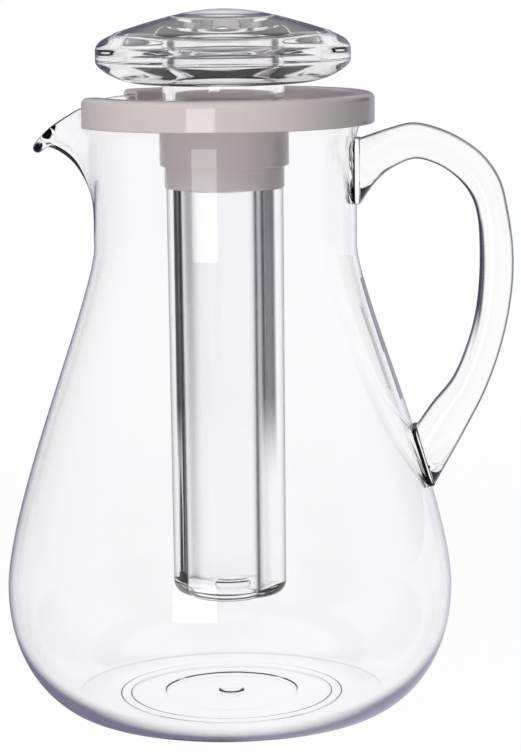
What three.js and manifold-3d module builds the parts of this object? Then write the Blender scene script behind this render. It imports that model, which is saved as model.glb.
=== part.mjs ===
// Cooler jug: a clear jug with a cemented handle, a grey lid ring that carries a clear ice tube,
// and a hollow clear stopper that closes the tube.
// Millimetres, +Z up. The axis of the jug is Z, the table is z = 0, the spout points to -X and
// the handle to +X.
import * as THREE from 'three';
import { mergeVertices } from 'three/addons/utils/BufferGeometryUtils.js';
import Module from 'manifold-3d';

const wasm = await Module();
wasm.setup();

// Clearances
const fit = 0.3; // between any two pieces that meet
const runningFit = 0.5; // between the lid's skirt and the jug's rim
const overrun = 1; // how far a cutter goes past what it cuts
const weld = 0.002; // vertices closer than this are one vertex

// Jug body
const jugWall = 3.2;
const rimWall = 2.8;
const footHeight = 0.8; // of the foot ring below the underside
const footRecess = 1.2; // of the flat centre above the table
const footRadius = 43;
const footWidth = 4.5;
const footChamfer = 0.7;
const floorStepRadius = 25;
const floorStep = 0.4;
const pipRadius = 5;
const pipHeight = 0.8;
const bowlRadius = 59.2; // where the flat underside turns up into the bowl
const bowlRunOut = 3.2; // how far the underside runs on before it curls up
const bowlLiftShare = 0.75;
const bellyRadius = 84.6;
const bellyHeight = 46.9;
const rimHeight = 231.2;
const neckRadius = 49.4;
const neckDrop = 53.2; // from the rim to where the shoulder ends and the neck starts
const shoulderDropShare = 0.245;
const shoulderTurnShare = 0.11;
const shoulderTuck = 1.8;
const rimFlare = 4.8; // how much wider the rim is than the neck

// Spout
const spoutReach = 71.2;
const spoutTipDrop = 15.7; // below the rim
const spoutRootDrop = 41.2; // below the rim
const spoutAngle = Math.PI; // the spout points to -X
const spoutHalfAngle = 12.6 * Math.PI / 180;
const spoutSharpness = 1.9;
const spoutEarlyShare = 0.3; // of the drop, the part that starts well before the tip
const spoutEarlySharpness = 0.5;
const spoutLateSharpness = 1.5;
const spoutCrowding = 0.4; // how much closer the slices lie at the spout
const lipWall = 3.6; // a little thicker than the wall, so that the tip ends in a bead

// Handle and its two pads on the body
const padProud = 1.7;
const padWidth = 18;
const padCorner = 4;
const upperPadHeight = 24.5;
const upperPadDrop = 14.6; // from the rim to the pad's upper edge
const lowerPadLength = 23.5;
const lowerPadCentreHeight = 96.5;
const handleReach = 107.8;
const handleRise = 5.5; // above the upper pad
const gripWidth = 17;
const gripRoundness = 2.6; // 2 is an ellipse, more is squarer
const gripEndSharpness = 6; // how late the grip widens to its pads

// Lid ring
const lidRise = 2.3; // above the rim
const lidSkirtWall = 1.6;
const lidBandHeight = 11.3;
const lidCapThickness = 2;
const lidInnerWall = 1.1;
const lidInnerDepth = 6.6; // of the inner wall below the top
const lidCornerRadius = 2.4;
const lidInnerCornerRadius = 1.6;
const lidSkirtCorner = 0.6;
const lidWebThickness = 2;
const notchHalfAngle = 34.25 * Math.PI / 180;
const notchTurn = -7.25 * Math.PI / 180; // from the spout, as the lid stands in its neck
const pourGapDepth = 4.5; // how far the notch reaches in from the inner wall
const gasketThickness = 1;
const gasketHeight = 2.6;
const gasketGapHalfAngle = 50 * Math.PI / 180;

// Sleeve in the middle of the lid, collar and seal
const sleeveWall = 1.5;
const sleeveTopWall = 2.2;
const sleeveDrop = 26.8; // of its lower end below the lid's top
const sleeveRise = 2.2; // above the web
const ledgeWidth = 2.6;
const ledgeThickness = 1.4;
const collarRadius = 22.5;
const collarShow = 8.2; // length of the collar below the sleeve
const collarWall = 2;
const collarInsert = 7.5; // length of the collar inside the sleeve
const tubeSealThickness = 1.5;

// Ice tube
const tubeInset = 0.4; // how much narrower it is than its collar
const tubeTaper = 0.5;
const tubeLength = 155; // below the collar
const tubeWall = 4; // between the round bore and the lobes at the foot
const tubeFloor = 3;
const tubeFootCorner = 4.5;
const lobeCount = 4;
const lobeOffsetShare = 0.28; // of the tube's radius, from the axis to the middle of a lobe
const lobeTurn = -6 * Math.PI / 180;
const tubeNubRadius = 5.5;
const tubeNubHeight = 2.4;

// Stopper
const stopperRadius = 47.6;
const stopperLift = 3.9; // of its underside above the lid
const stopperHeight = 27.4;
const stopperSeamRise = 8.6; // above the underside, as are the next three
const stopperBellyRise = 12.2;
const cavityFloorRise = 2.3;
const cavityCeilingRise = 13.6;
const stopperFlatShare = 0.62; // of the radius, the flat part of the underside
const stopperCurl = 9; // how far inside the radius the underside starts to curl up
const stopperBulge = 3; // how full it is where it meets the seam
const domeInset = 7.4; // how much narrower the dome is than the stopper
const domeHeight = 8.5;
const domeStep = 0.6;
const shoulderFullness = 3.2; // of the stopper's shoulder, at both its ends
const shoulderSlope = 0.35; // where the shoulder meets the dome
const domePullShare = 0.67;
const domeRiseShare = 0.48;
const domePushShare = 0.35;
const cavityWall = 8.6;
const cavityCorner = 4;
const neckStep = 0.4; // how much wider the stopper's neck is than the collar
const neckWall = 3.5;
const neckBoreDraft = 0.9; // how much narrower the bore is at its top
const boreRoof = 6.2; // thickness above the bore
const boreCorner = 1.2;
const ringGrooveDepth = 1.5;
const ringGrooveHeight = 2.4;
const ringGrooveLift = 3.2; // of the groove above the neck's lower end

// How finely the round parts are divided
const jugDivisions = 52;
const lidDivisions = 48;
const coreDivisions = 36;
const tubeDivisions = 44;
const handleDivisions = 14;
const handleStations = 30;
const bowlSteps = 7;
const shoulderSteps = 8;
const cornerSteps = 3;
const notchSteps = 10;
const underSteps = 6;
const bellySteps = 4;
const domeSteps = 5;

// Derived places on the jug
const undersideHeight = footHeight;
const floorHeight = undersideHeight + jugWall;
const neckHeight = rimHeight - neckDrop;
const rimRadius = neckRadius + rimFlare;
const spoutTipHeight = rimHeight - spoutTipDrop;
const spoutRootHeight = rimHeight - spoutRootDrop;
const upperPadTop = rimHeight - upperPadDrop;
const handleTop = upperPadTop + handleRise;

// Derived places on the lid
const lidTop = rimHeight + lidRise;
const lidSkirtBottom = lidTop - lidBandHeight;
const lidCapUnderside = lidTop - lidCapThickness;
const lidSkirtInnerRadius = rimRadius + runningFit;
const lidRadius = lidSkirtInnerRadius + lidSkirtWall;
const gasketOuterRadius = rimRadius - rimWall - 2 * fit;
const gasketInnerRadius = gasketOuterRadius - gasketThickness;
const lidInnerOuterRadius = gasketInnerRadius - fit;
const lidInnerRadius = lidInnerOuterRadius - lidInnerWall;
const lidInnerBottom = lidTop - lidInnerDepth;
const webTop = lidInnerBottom + lidWebThickness;
const sleeveTop = webTop + sleeveRise;
const sleeveBottom = lidTop - sleeveDrop;
const neckOuterRadius = collarRadius + neckStep;
const stopperBore = neckOuterRadius + fit;
const collarBore = collarRadius + fit;
const sleeveRadius = collarBore + sleeveWall;
const sleeveTopRadius = stopperBore + sleeveTopWall;
const collarTop = sleeveBottom + collarInsert;
const collarBottom = sleeveBottom - collarShow;
const sealBottom = collarTop + fit;
const ledgeBottom = sealBottom + tubeSealThickness + fit;
const ledgeTop = ledgeBottom + ledgeThickness;
const ledgeBore = stopperBore - ledgeWidth;

// Derived places on the ice tube
const tubeTop = collarBottom - fit;
const tubeBottom = tubeTop - tubeLength;
const tubeRadius = collarRadius - tubeInset;
const tubeFootRadius = tubeRadius - tubeTaper;
const spigotRadius = collarRadius - collarWall - fit;
const tubeBore = tubeFootRadius - tubeWall;

// Derived places on the stopper
const stopperBottom = lidTop + stopperLift;
const stopperTop = stopperBottom + stopperHeight;
const stopperSeam = stopperBottom + stopperSeamRise;
const stopperBellyTop = stopperBottom + stopperBellyRise;
const cavityFloor = stopperBottom + cavityFloorRise;
const cavityCeiling = stopperBottom + cavityCeilingRise;
const cavityRadius = stopperRadius - cavityWall;
const domeRadius = stopperRadius - domeInset;
const domeEdgeHeight = stopperTop - domeHeight;
const neckBottom = ledgeTop + fit;
const neckTop = stopperTop - boreRoof;
const neckBoreRadius = neckOuterRadius - neckWall;

// Materials
function clearAcrylic(name) {
  return new THREE.MeshStandardMaterial({ name, color: 0xf4f5fa, roughness: 0.04, metalness: 0 });
}

function greyPlastic(name) {
  return new THREE.MeshStandardMaterial({ name, color: 0xc8bfbe, roughness: 0.22, metalness: 0 });
}

function silicone(name) {
  return new THREE.MeshStandardMaterial({ name, color: 0xdfe0de, roughness: 0.55, metalness: 0 });
}

// Closed mesh with shared vertices and no flat triangles
function closed(geometry) {
  const bare = geometry.index ? geometry.toNonIndexed() : geometry;
  bare.deleteAttribute('normal');
  bare.deleteAttribute('uv');
  const merged = mergeVertices(bare, weld);
  const kept = [];
  const index = merged.index.array;
  for (let i = 0; i < index.length; i += 3) {
    const [a, b, c] = [index[i], index[i + 1], index[i + 2]];
    if (a !== b && b !== c && c !== a) kept.push(a, b, c);
  }
  merged.setIndex(kept);
  return merged;
}

function solid(geometry) {
  const mesh = closed(geometry);
  return new wasm.Manifold(new wasm.Mesh({
    numProp: 3,
    vertProperties: new Float32Array(mesh.attributes.position.array),
    triVerts: new Uint32Array(mesh.index.array),
  }));
}

function fromSolid(manifold) {
  const mesh = manifold.getMesh();
  const geometry = new THREE.BufferGeometry();
  geometry.setAttribute('position', new THREE.BufferAttribute(new Float32Array(mesh.vertProperties), 3));
  geometry.setIndex(new THREE.BufferAttribute(new Uint32Array(mesh.triVerts), 1));
  return geometry;
}

function piece(name, geometry, material) {
  geometry.computeVertexNormals();
  const mesh = new THREE.Mesh(geometry, material);
  mesh.name = name;
  return mesh;
}

// A point of a turned outline: radius and height
function at(radius, height) {
  return new THREE.Vector2(radius, height);
}

// Turned body about Z from an outline that runs outwards along its underside and up its outside
function turned(outline, divisions) {
  const lathe = new THREE.LatheGeometry(outline, divisions);
  lathe.rotateX(Math.PI / 2);
  return lathe;
}

// Ring whose outline closes on itself
function turnedRing(outline, divisions) {
  return turned([...outline, outline[0].clone()], divisions);
}

// Plain ring of rectangular section
function band(innerRadius, outerRadius, bottom, top, divisions) {
  const underEdge = [at(innerRadius, bottom), at(outerRadius, bottom)];
  const upperEdge = [at(outerRadius, top), at(innerRadius, top)];
  return turnedRing([...underEdge, ...upperEdge], divisions);
}

// Points of a cubic curve, without its first point
function bend(start, pull, push, end, count) {
  return new THREE.CubicBezierCurve(start, pull, push, end).getPoints(count).slice(1);
}

// Quarter arc from one point to another, leaving along the radius or along the height
function corner(start, end, alongRadius) {
  const arcShare = 0.552;
  const pull = start.clone();
  const push = end.clone();
  if (alongRadius) {
    pull.x += (end.x - start.x) * arcShare;
    push.y += (start.y - end.y) * arcShare;
  } else {
    pull.y += (end.y - start.y) * arcShare;
    push.x += (start.x - end.x) * arcShare;
  }
  return bend(start, pull, push, end, cornerSteps);
}

// Jug body

// Outside of the bowl and shoulder, from the underside to the root of the spout
function bowlOutside() {
  const base = at(bowlRadius, undersideHeight);
  const belly = at(bellyRadius, bellyHeight);
  const neck = at(neckRadius, neckHeight);
  const bowlPull = at(bowlRadius + bowlRunOut, undersideHeight);
  const bowlPush = at(bellyRadius, bellyHeight - (bellyHeight - undersideHeight) * bowlLiftShare);
  const rise = neckHeight - bellyHeight;
  const shoulderPull = at(bellyRadius, bellyHeight + rise * shoulderDropShare);
  const shoulderPush = at(neckRadius - shoulderTuck, neckHeight - rise * shoulderTurnShare);
  return [
    base,
    ...bend(base, bowlPull, bowlPush, belly, bowlSteps),
    ...bend(belly, shoulderPull, shoulderPush, neck, shoulderSteps),
  ];
}

// Outside of the neck from the spout's root to the rim, and the same stations along the spout.
// Radii are shares from the neck to the rim or tip, heights are shares from the spout's root.
const rimTurnShares = [0.25, 0.5, 0.75];
const rimShares = [[0, 0], [0, 0.28], [0, 0.5], [0.03, 0.68], [0.36, 0.8], [0.95, 0.9], [1, 1]];
const lipShares = [[0, 0], [0.07, 0.3], [0.2, 0.58], [0.39, 0.83], [0.62, 1], [0.84, 1.08], [1, 1]];

function neckOutside(share) {
  const dropShare = spoutDropShare(share);
  const rimTurn = rimHeight - rimWall / 2;
  const lipTurn = spoutTipHeight - lipWall;
  return rimShares.map(([rimRadial, rimRise], station) => {
    const [lipRadial, lipRise] = lipShares[station];
    const radius = THREE.MathUtils.lerp(
      neckRadius + (rimRadius - neckRadius) * rimRadial,
      neckRadius + (spoutReach - lipWall / 2 - neckRadius) * lipRadial, share);
    const height = THREE.MathUtils.lerp(
      spoutRootHeight + (rimTurn - spoutRootHeight) * rimRise,
      spoutRootHeight + (lipTurn - spoutRootHeight) * lipRise, dropShare);
    return at(radius, height);
  });
}

// How far a slice's rim drops towards the tip, for its share of the pull
function spoutDropShare(share) {
  return spoutEarlyShare * share ** spoutEarlySharpness
    + (1 - spoutEarlyShare) * share ** spoutLateSharpness;
}

// How far a vertical slice of the neck is pulled out into the spout, from 0 to 1
function spoutShare(angle) {
  const away = Math.abs(angle - spoutAngle) / spoutHalfAngle;
  return Math.exp(-(away ** spoutSharpness));
}

// The outline moved in by the wall, square to itself
function inside(outline, wallAt) {
  return outline.map((point, index) => {
    const before = outline[Math.max(index - 1, 0)];
    const after = outline[Math.min(index + 1, outline.length - 1)];
    const along = after.clone().sub(before).normalize();
    return at(point.x - along.y * wallAt(index), point.y + along.x * wallAt(index));
  });
}

// Half circle over the rim, from the outside wall to the inside wall
function rimRound(outer, inner) {
  const middle = outer.clone().add(inner).multiplyScalar(0.5);
  const spoke = outer.clone().sub(middle);
  return rimTurnShares.map((turnShare) => {
    return spoke.clone().rotateAround(at(0, 0), Math.PI * turnShare).add(middle);
  });
}

// Underside from the axis to the bowl: flat centre, then the foot ring
function underside() {
  const footInner = footRadius - footWidth;
  return [
    at(0, footRecess),
    at(footInner, footRecess),
    at(footInner + footChamfer, 0),
    at(footRadius - footChamfer, 0),
    at(footRadius, undersideHeight),
  ];
}

// Inside floor from the bowl to the axis: a shallow step and the moulding pip
function insideFloor() {
  const low = floorHeight - floorStep;
  return [
    at(floorStepRadius + floorStep, floorHeight),
    at(floorStepRadius, low),
    at(pipRadius, low),
    at(pipRadius - pipHeight, low + pipHeight),
    at(0, low + pipHeight),
  ];
}

function jugOutline(share) {
  const bowl = bowlOutside();
  const neck = neckOutside(share);
  const outer = [...bowl, ...neck];
  const topWall = THREE.MathUtils.lerp(rimWall, lipWall, share);
  const wallAt = (index) => (index < bowl.length ? jugWall : THREE.MathUtils.lerp(
    jugWall, topWall, (index - bowl.length) / (neck.length - 1)));
  const inner = inside(outer, wallAt);
  const round = rimRound(outer[outer.length - 1], inner[inner.length - 1]);
  return [...underside(), ...outer, ...round, ...inner.reverse(), ...insideFloor()];
}

// Lathe whose slices are closer together at the spout and are pulled out there
function jugShell() {
  const lathe = turned(jugOutline(0), jugDivisions);
  const position = lathe.attributes.position;
  const count = jugOutline(0).length;
  for (let slice = 0; slice <= jugDivisions; slice += 1) {
    const even = 2 * Math.PI * (slice % jugDivisions) / jugDivisions;
    const angle = even + spoutCrowding * Math.sin(even);
    jugOutline(spoutShare(angle)).forEach((point, row) => {
      position.setXYZ(slice * count + row, point.x * Math.cos(angle), point.x * Math.sin(angle), point.y);
    });
  }
  return lathe;
}

// Height and direction of the bowl's outside where the lower end of the handle is cemented
function lowerPadPlace() {
  const wall = bowlOutside();
  const upper = wall.findIndex((point) => point.y > lowerPadCentreHeight);
  const [low, high] = [wall[upper - 1], wall[upper]];
  const share = (lowerPadCentreHeight - low.y) / (high.y - low.y);
  const centre = low.clone().lerp(high, share);
  const along = high.clone().sub(low).normalize();
  const out = at(along.y, -along.x);
  return { centre, along, out };
}

// Cushion-cornered pad, drawn in Y and Z and thick along X
function padSolid(length, thickness) {
  const [halfWidth, halfLength] = [padWidth / 2, length / 2];
  const shape = new THREE.Shape();
  shape.moveTo(-halfWidth + padCorner, -halfLength);
  shape.lineTo(halfWidth - padCorner, -halfLength);
  shape.absarc(halfWidth - padCorner, -halfLength + padCorner, padCorner, -Math.PI / 2, 0);
  shape.absarc(halfWidth - padCorner, halfLength - padCorner, padCorner, 0, Math.PI / 2);
  shape.absarc(-halfWidth + padCorner, halfLength - padCorner, padCorner, Math.PI / 2, Math.PI);
  shape.absarc(-halfWidth + padCorner, -halfLength + padCorner, padCorner, Math.PI, 3 * Math.PI / 2);
  const pad = new THREE.ExtrudeGeometry(shape, {
    depth: thickness, bevelEnabled: false, curveSegments: cornerSteps,
  });
  pad.rotateX(Math.PI / 2);
  pad.rotateZ(Math.PI / 2);
  return pad;
}

function jugBody() {
  const sunk = jugWall / 2;
  const upper = padSolid(upperPadHeight, sunk + padProud);
  upper.translate(neckRadius - sunk, 0, upperPadTop - upperPadHeight / 2);
  const lower = padSolid(lowerPadLength, sunk + padProud);
  const { centre, out } = lowerPadPlace();
  lower.rotateY(-Math.atan2(out.y, out.x));
  lower.translate(centre.x - out.x * sunk, 0, centre.y - out.y * sunk);
  return fromSolid(solid(jugShell()).add(solid(upper)).add(solid(lower)));
}

// Handle

// Stations of the outer and inner edge between the two pads, as shares of the handle's reach
// beyond the upper pad and of its height above the lower pad's centre
const outerEdgeShares = [
  [0.1, 0.972], [0.19, 0.985], [0.34, 1], [0.5, 0.985], [0.66, 0.952], [0.81, 0.9], [0.915, 0.83],
  [0.965, 0.743], [1, 0.63], [1, 0.53], [0.97, 0.425], [0.915, 0.32], [0.82, 0.2], [0.71, 0.1],
];
const innerEdgeShares = [
  [0.085, 0.818], [0.19, 0.862], [0.355, 0.893], [0.48, 0.88], [0.58, 0.855], [0.665, 0.82], [0.73, 0.775],
  [0.765, 0.718], [0.778, 0.635], [0.775, 0.54], [0.752, 0.44], [0.7, 0.345], [0.6, 0.237], [0.465, 0.16],
];

function edgeCurve(start, shares, end) {
  const face = neckRadius + padProud + fit;
  const middle = shares.map(([reachShare, riseShare]) => new THREE.Vector3(
    face + (handleReach - face) * reachShare, 0,
    lowerPadCentreHeight + (handleTop - lowerPadCentreHeight) * riseShare));
  return new THREE.CatmullRomCurve3([start, ...middle, end], false, 'centripetal');
}

// Point of the lower end's flat face, measured along the wall from the pad's centre
function lowerFacePoint(along) {
  const place = lowerPadPlace();
  const rise = padProud + fit;
  return new THREE.Vector3(
    place.centre.x + place.out.x * rise + place.along.x * along, 0,
    place.centre.y + place.out.y * rise + place.along.y * along);
}

// Rounded section between an outer and an inner edge point
function gripSection(outer, inner, width) {
  const middle = outer.clone().add(inner).multiplyScalar(0.5);
  const depth = outer.clone().sub(inner).multiplyScalar(0.5);
  const power = 2 / gripRoundness;
  const ring = [];
  for (let step = 0; step < handleDivisions; step += 1) {
    const turn = 2 * Math.PI * step / handleDivisions;
    const across = Math.sign(Math.cos(turn)) * Math.abs(Math.cos(turn)) ** power;
    const side = Math.sign(Math.sin(turn)) * Math.abs(Math.sin(turn)) ** power;
    ring.push(middle.clone().addScaledVector(depth, across).setY(side * width / 2));
  }
  return ring;
}

// Skin over a row of rings, with a flat cap at each end
function loft(rings) {
  const positions = rings.flat().flatMap((point) => point.toArray());
  const size = rings[0].length;
  const index = [];
  for (let row = 0; row < rings.length - 1; row += 1) {
    for (let step = 0; step < size; step += 1) {
      const [a, b] = [row * size + step, row * size + (step + 1) % size];
      index.push(a, b + size, b, a, a + size, b + size);
    }
  }
  const last = (rings.length - 1) * size;
  for (let step = 1; step < size - 1; step += 1) {
    index.push(0, step, step + 1, last, last + step + 1, last + step);
  }
  const geometry = new THREE.BufferGeometry();
  geometry.setAttribute('position', new THREE.Float32BufferAttribute(positions, 3));
  geometry.setIndex(index);
  return geometry;
}

function handle() {
  const face = neckRadius + padProud + fit;
  const padTop = new THREE.Vector3(face, 0, upperPadTop);
  const padFoot = new THREE.Vector3(face, 0, upperPadTop - upperPadHeight);
  const outer = edgeCurve(padTop, outerEdgeShares, lowerFacePoint(-lowerPadLength / 2));
  const inner = edgeCurve(padFoot, innerEdgeShares, lowerFacePoint(lowerPadLength / 2));
  const rings = [];
  for (let station = 0; station <= handleStations; station += 1) {
    const along = station / handleStations;
    const endShare = Math.abs(2 * along - 1) ** gripEndSharpness;
    const width = THREE.MathUtils.lerp(gripWidth, padWidth, endShare);
    rings.push(gripSection(outer.getPoint(along), inner.getPoint(along), width));
  }
  return loft(rings);
}

// Lid ring: inverted channel over the jug's rim, flat web, and the sleeve for tube and stopper
function lidOutline() {
  const skirtFoot = at(lidRadius - lidSkirtCorner, lidSkirtBottom);
  const skirtHeel = at(lidRadius, lidSkirtBottom + lidSkirtCorner);
  const shoulder = at(lidRadius, lidTop - lidCornerRadius);
  const crest = at(lidRadius - lidCornerRadius, lidTop);
  const innerCrest = at(lidInnerRadius + lidInnerCornerRadius, lidTop);
  const innerShoulder = at(lidInnerRadius, lidTop - lidInnerCornerRadius);
  return [
    at(collarBore, sleeveBottom),
    at(sleeveRadius, sleeveBottom),
    at(sleeveRadius, lidInnerBottom),
    at(lidInnerOuterRadius, lidInnerBottom),
    at(lidInnerOuterRadius, lidCapUnderside),
    at(lidSkirtInnerRadius, lidCapUnderside),
    at(lidSkirtInnerRadius, lidSkirtBottom),
    skirtFoot,
    skirtHeel,
    shoulder,
    ...corner(shoulder, crest, false),
    innerCrest,
    ...corner(innerCrest, innerShoulder, true),
    at(lidInnerRadius, webTop),
    at(sleeveTopRadius, webTop),
    at(sleeveTopRadius, sleeveTop),
    at(stopperBore, sleeveTop),
    at(stopperBore, ledgeTop),
    at(ledgeBore, ledgeTop),
    at(ledgeBore, ledgeBottom),
    at(collarBore, ledgeBottom),
  ];
}

// Sector of a ring, as a cutter
function sector(innerRadius, outerRadius, bottom, top, middleAngle, halfAngle) {
  const shape = new THREE.Shape();
  shape.absarc(0, 0, outerRadius, middleAngle - halfAngle, middleAngle + halfAngle, false);
  shape.absarc(0, 0, innerRadius, middleAngle + halfAngle, middleAngle - halfAngle, true);
  const cutter = new THREE.ExtrudeGeometry(shape, {
    depth: top - bottom, bevelEnabled: false, curveSegments: notchSteps,
  });
  cutter.translate(0, 0, bottom);
  return cutter;
}

function lidRing() {
  const notch = sector(
    lidInnerRadius - pourGapDepth, lidRadius + overrun, lidSkirtBottom - overrun, lidTop + overrun,
    spoutAngle + notchTurn, notchHalfAngle);
  return fromSolid(solid(turnedRing(lidOutline(), lidDivisions)).subtract(solid(notch)));
}

// Split silicone ring round the lid's inner wall, open at the spout
function lidGasket() {
  const top = lidCapUnderside - fit;
  const bottom = top - gasketHeight;
  const gap = sector(
    gasketInnerRadius - overrun, gasketOuterRadius + overrun, bottom - overrun, top + overrun,
    spoutAngle, gasketGapHalfAngle);
  const ring = band(gasketInnerRadius, gasketOuterRadius, bottom, top, lidDivisions);
  return fromSolid(solid(ring).subtract(solid(gap)));
}

function tubeCollar() {
  return band(collarRadius - collarWall, collarRadius, collarBottom, collarTop, coreDivisions);
}

function tubeSeal() {
  const sealTop = sealBottom + tubeSealThickness;
  return band(tubeBore, collarRadius, sealBottom, sealTop, coreDivisions);
}

// Ice tube

// Outline of the tube: foot and outer wall, which are lobed, then the spigot in the collar, the
// bore and its floor, which are round.
function tubeRows() {
  const footStart = at(tubeFootRadius - tubeFootCorner, tubeBottom);
  const footEnd = at(tubeFootRadius, tubeBottom + tubeFootCorner);
  const floor = tubeBottom + tubeFloor;
  const innerCorner = tubeFootCorner - tubeWall / 2;
  const boreFoot = at(tubeBore, floor + innerCorner);
  const floorEdge = at(tubeBore - innerCorner, floor);
  const outerWall = [
    at(0, tubeBottom),
    footStart,
    ...corner(footStart, footEnd, true),
    at(tubeRadius, tubeTop),
  ];
  const spigot = [
    at(spigotRadius, tubeTop),
    at(spigotRadius, collarTop),
  ];
  const bore = [
    at(tubeBore, collarTop),
    boreFoot,
    ...corner(boreFoot, floorEdge, false),
    at(tubeNubRadius, floor),
    at(tubeNubRadius - tubeNubHeight, floor + tubeNubHeight),
    at(0, floor + tubeNubHeight),
  ];
  return [
    ...outerWall.map((point) => ({ point, lobed: true })),
    ...spigot.map((point) => ({ point, lobed: false })),
    ...bore.map((point) => ({ point, lobed: false })),
  ];
}

// Radius of the lobed section as a share of its largest radius
function lobeShare(angle) {
  const lobeAngle = 2 * Math.PI / lobeCount;
  const turn = angle - lobeTurn;
  const away = turn - Math.round(turn / lobeAngle) * lobeAngle;
  const lobe = 1 - lobeOffsetShare;
  const aside = lobeOffsetShare * Math.sin(away);
  return lobeOffsetShare * Math.cos(away) + Math.sqrt(lobe ** 2 - aside ** 2);
}

function iceTube() {
  const rows = tubeRows();
  const tube = turned(rows.map((row) => row.point), tubeDivisions);
  const position = tube.attributes.position;
  for (let vertex = 0; vertex < position.count; vertex += 1) {
    const [x, y, z] = [position.getX(vertex), position.getY(vertex), position.getZ(vertex)];
    const share = rows[vertex % rows.length].lobed ? lobeShare(Math.atan2(y, x)) : 1;
    position.setXYZ(vertex, x * share, y * share, z);
  }
  return tube;
}

// Stopper

// Lower half with the neck: underside, bowl wall to the seam, cavity floor, neck and its bore
function stopperBaseOutline() {
  const flatEdge = at(stopperRadius * stopperFlatShare, stopperBottom);
  const belly = at(stopperRadius, stopperSeam);
  const wallFoot = at(cavityRadius, cavityFloor + cavityCorner);
  const floorEdge = at(cavityRadius - cavityCorner, cavityFloor);
  const groove = neckBottom + ringGrooveLift;
  const grooveRadius = neckOuterRadius - ringGrooveDepth;
  const underPull = at(stopperRadius - stopperCurl, stopperBottom);
  const underPush = at(stopperRadius, stopperSeam - stopperBulge);
  return [
    at(neckBoreRadius, neckBottom),
    at(neckOuterRadius, neckBottom),
    at(neckOuterRadius, groove),
    at(grooveRadius, groove),
    at(grooveRadius, groove + ringGrooveHeight),
    at(neckOuterRadius, groove + ringGrooveHeight),
    at(neckOuterRadius, stopperBottom),
    flatEdge,
    ...bend(flatEdge, underPull, underPush, belly, underSteps),
    at(cavityRadius, stopperSeam),
    wallFoot,
    ...corner(wallFoot, floorEdge, false),
    at(neckOuterRadius, cavityFloor),
    at(neckOuterRadius, stopperSeam),
    at(neckBoreRadius - neckBoreDraft, stopperSeam),
  ];
}

// Upper half: wall above the seam, stepped shoulder, dome, cavity ceiling and the top of the bore
function stopperCapOutline() {
  const seam = stopperSeam + fit / 2;
  const bore = neckBoreRadius - neckBoreDraft;
  const belly = at(stopperRadius, stopperBellyTop);
  const bellyPull = at(stopperRadius, stopperBellyTop + shoulderFullness);
  const step = at(domeRadius + domeStep, domeEdgeHeight - domeStep);
  const bellyPush = at(step.x + shoulderFullness, step.y - shoulderFullness * shoulderSlope);
  const edge = at(domeRadius, domeEdgeHeight);
  const domePull = at(domeRadius * domePullShare, domeEdgeHeight + domeHeight * domeRiseShare);
  const domePush = at(domeRadius * domePushShare, stopperTop);
  const top = at(0, stopperTop);
  const ceilingEdge = at(cavityRadius - cavityCorner, cavityCeiling);
  const wallHead = at(cavityRadius, cavityCeiling - cavityCorner);
  return [
    at(cavityRadius, seam),
    at(stopperRadius, seam),
    belly,
    ...bend(belly, bellyPull, bellyPush, step, bellySteps),
    edge,
    ...bend(edge, domePull, domePush, top, domeSteps),
    at(0, neckTop),
    at(bore - boreCorner, neckTop),
    at(bore, neckTop - boreCorner),
    at(bore, seam),
    at(neckOuterRadius, seam),
    at(neckOuterRadius, cavityCeiling),
    ceilingEdge,
    ...corner(ceilingEdge, wallHead, true),
  ];
}

function stopperORing() {
  const bottom = neckBottom + ringGrooveLift + fit;
  const top = bottom + ringGrooveHeight - 2 * fit;
  return band(neckOuterRadius - ringGrooveDepth + fit, neckOuterRadius, bottom, top, coreDivisions);
}

const coolerJug = new THREE.Group();
coolerJug.name = 'cooler_jug';
coolerJug.add(
  piece('jug_body', jugBody(), clearAcrylic('jug')),
  piece('handle', handle(), clearAcrylic('handle')),
  piece('lid_ring', lidRing(), greyPlastic('lid')),
  piece('lid_gasket', lidGasket(), silicone('gasket')),
  piece('tube_collar', tubeCollar(), greyPlastic('collar')),
  piece('tube_seal', tubeSeal(), silicone('seal')),
  piece('ice_tube', iceTube(), clearAcrylic('tube')),
  piece('stopper_base', turnedRing(stopperBaseOutline(), coreDivisions), clearAcrylic('stopper')),
  piece('stopper_cap', turnedRing(stopperCapOutline(), coreDivisions), clearAcrylic('cap')),
  piece('stopper_o_ring', stopperORing(), silicone('o_ring')),
);

export default coolerJug;
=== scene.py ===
import math

import bpy
from mathutils import Matrix, Vector


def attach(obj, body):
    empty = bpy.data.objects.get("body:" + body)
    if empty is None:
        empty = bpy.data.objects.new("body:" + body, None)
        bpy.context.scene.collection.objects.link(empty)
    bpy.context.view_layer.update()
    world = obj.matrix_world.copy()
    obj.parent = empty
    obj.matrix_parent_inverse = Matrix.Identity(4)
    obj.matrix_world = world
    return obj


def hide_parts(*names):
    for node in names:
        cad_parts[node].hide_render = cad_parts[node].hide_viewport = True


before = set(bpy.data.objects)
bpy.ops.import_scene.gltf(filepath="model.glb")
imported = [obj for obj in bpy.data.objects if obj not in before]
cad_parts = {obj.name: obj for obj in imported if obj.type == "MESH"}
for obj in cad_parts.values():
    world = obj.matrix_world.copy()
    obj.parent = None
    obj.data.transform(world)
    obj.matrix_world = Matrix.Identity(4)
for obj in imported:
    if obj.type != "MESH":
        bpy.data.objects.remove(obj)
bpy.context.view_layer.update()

MM = 0.001
TURN = 2 * math.pi
TINY = 1e-6

# Clearances
FIT = 0.3
CEMENTED = 0.2

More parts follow.
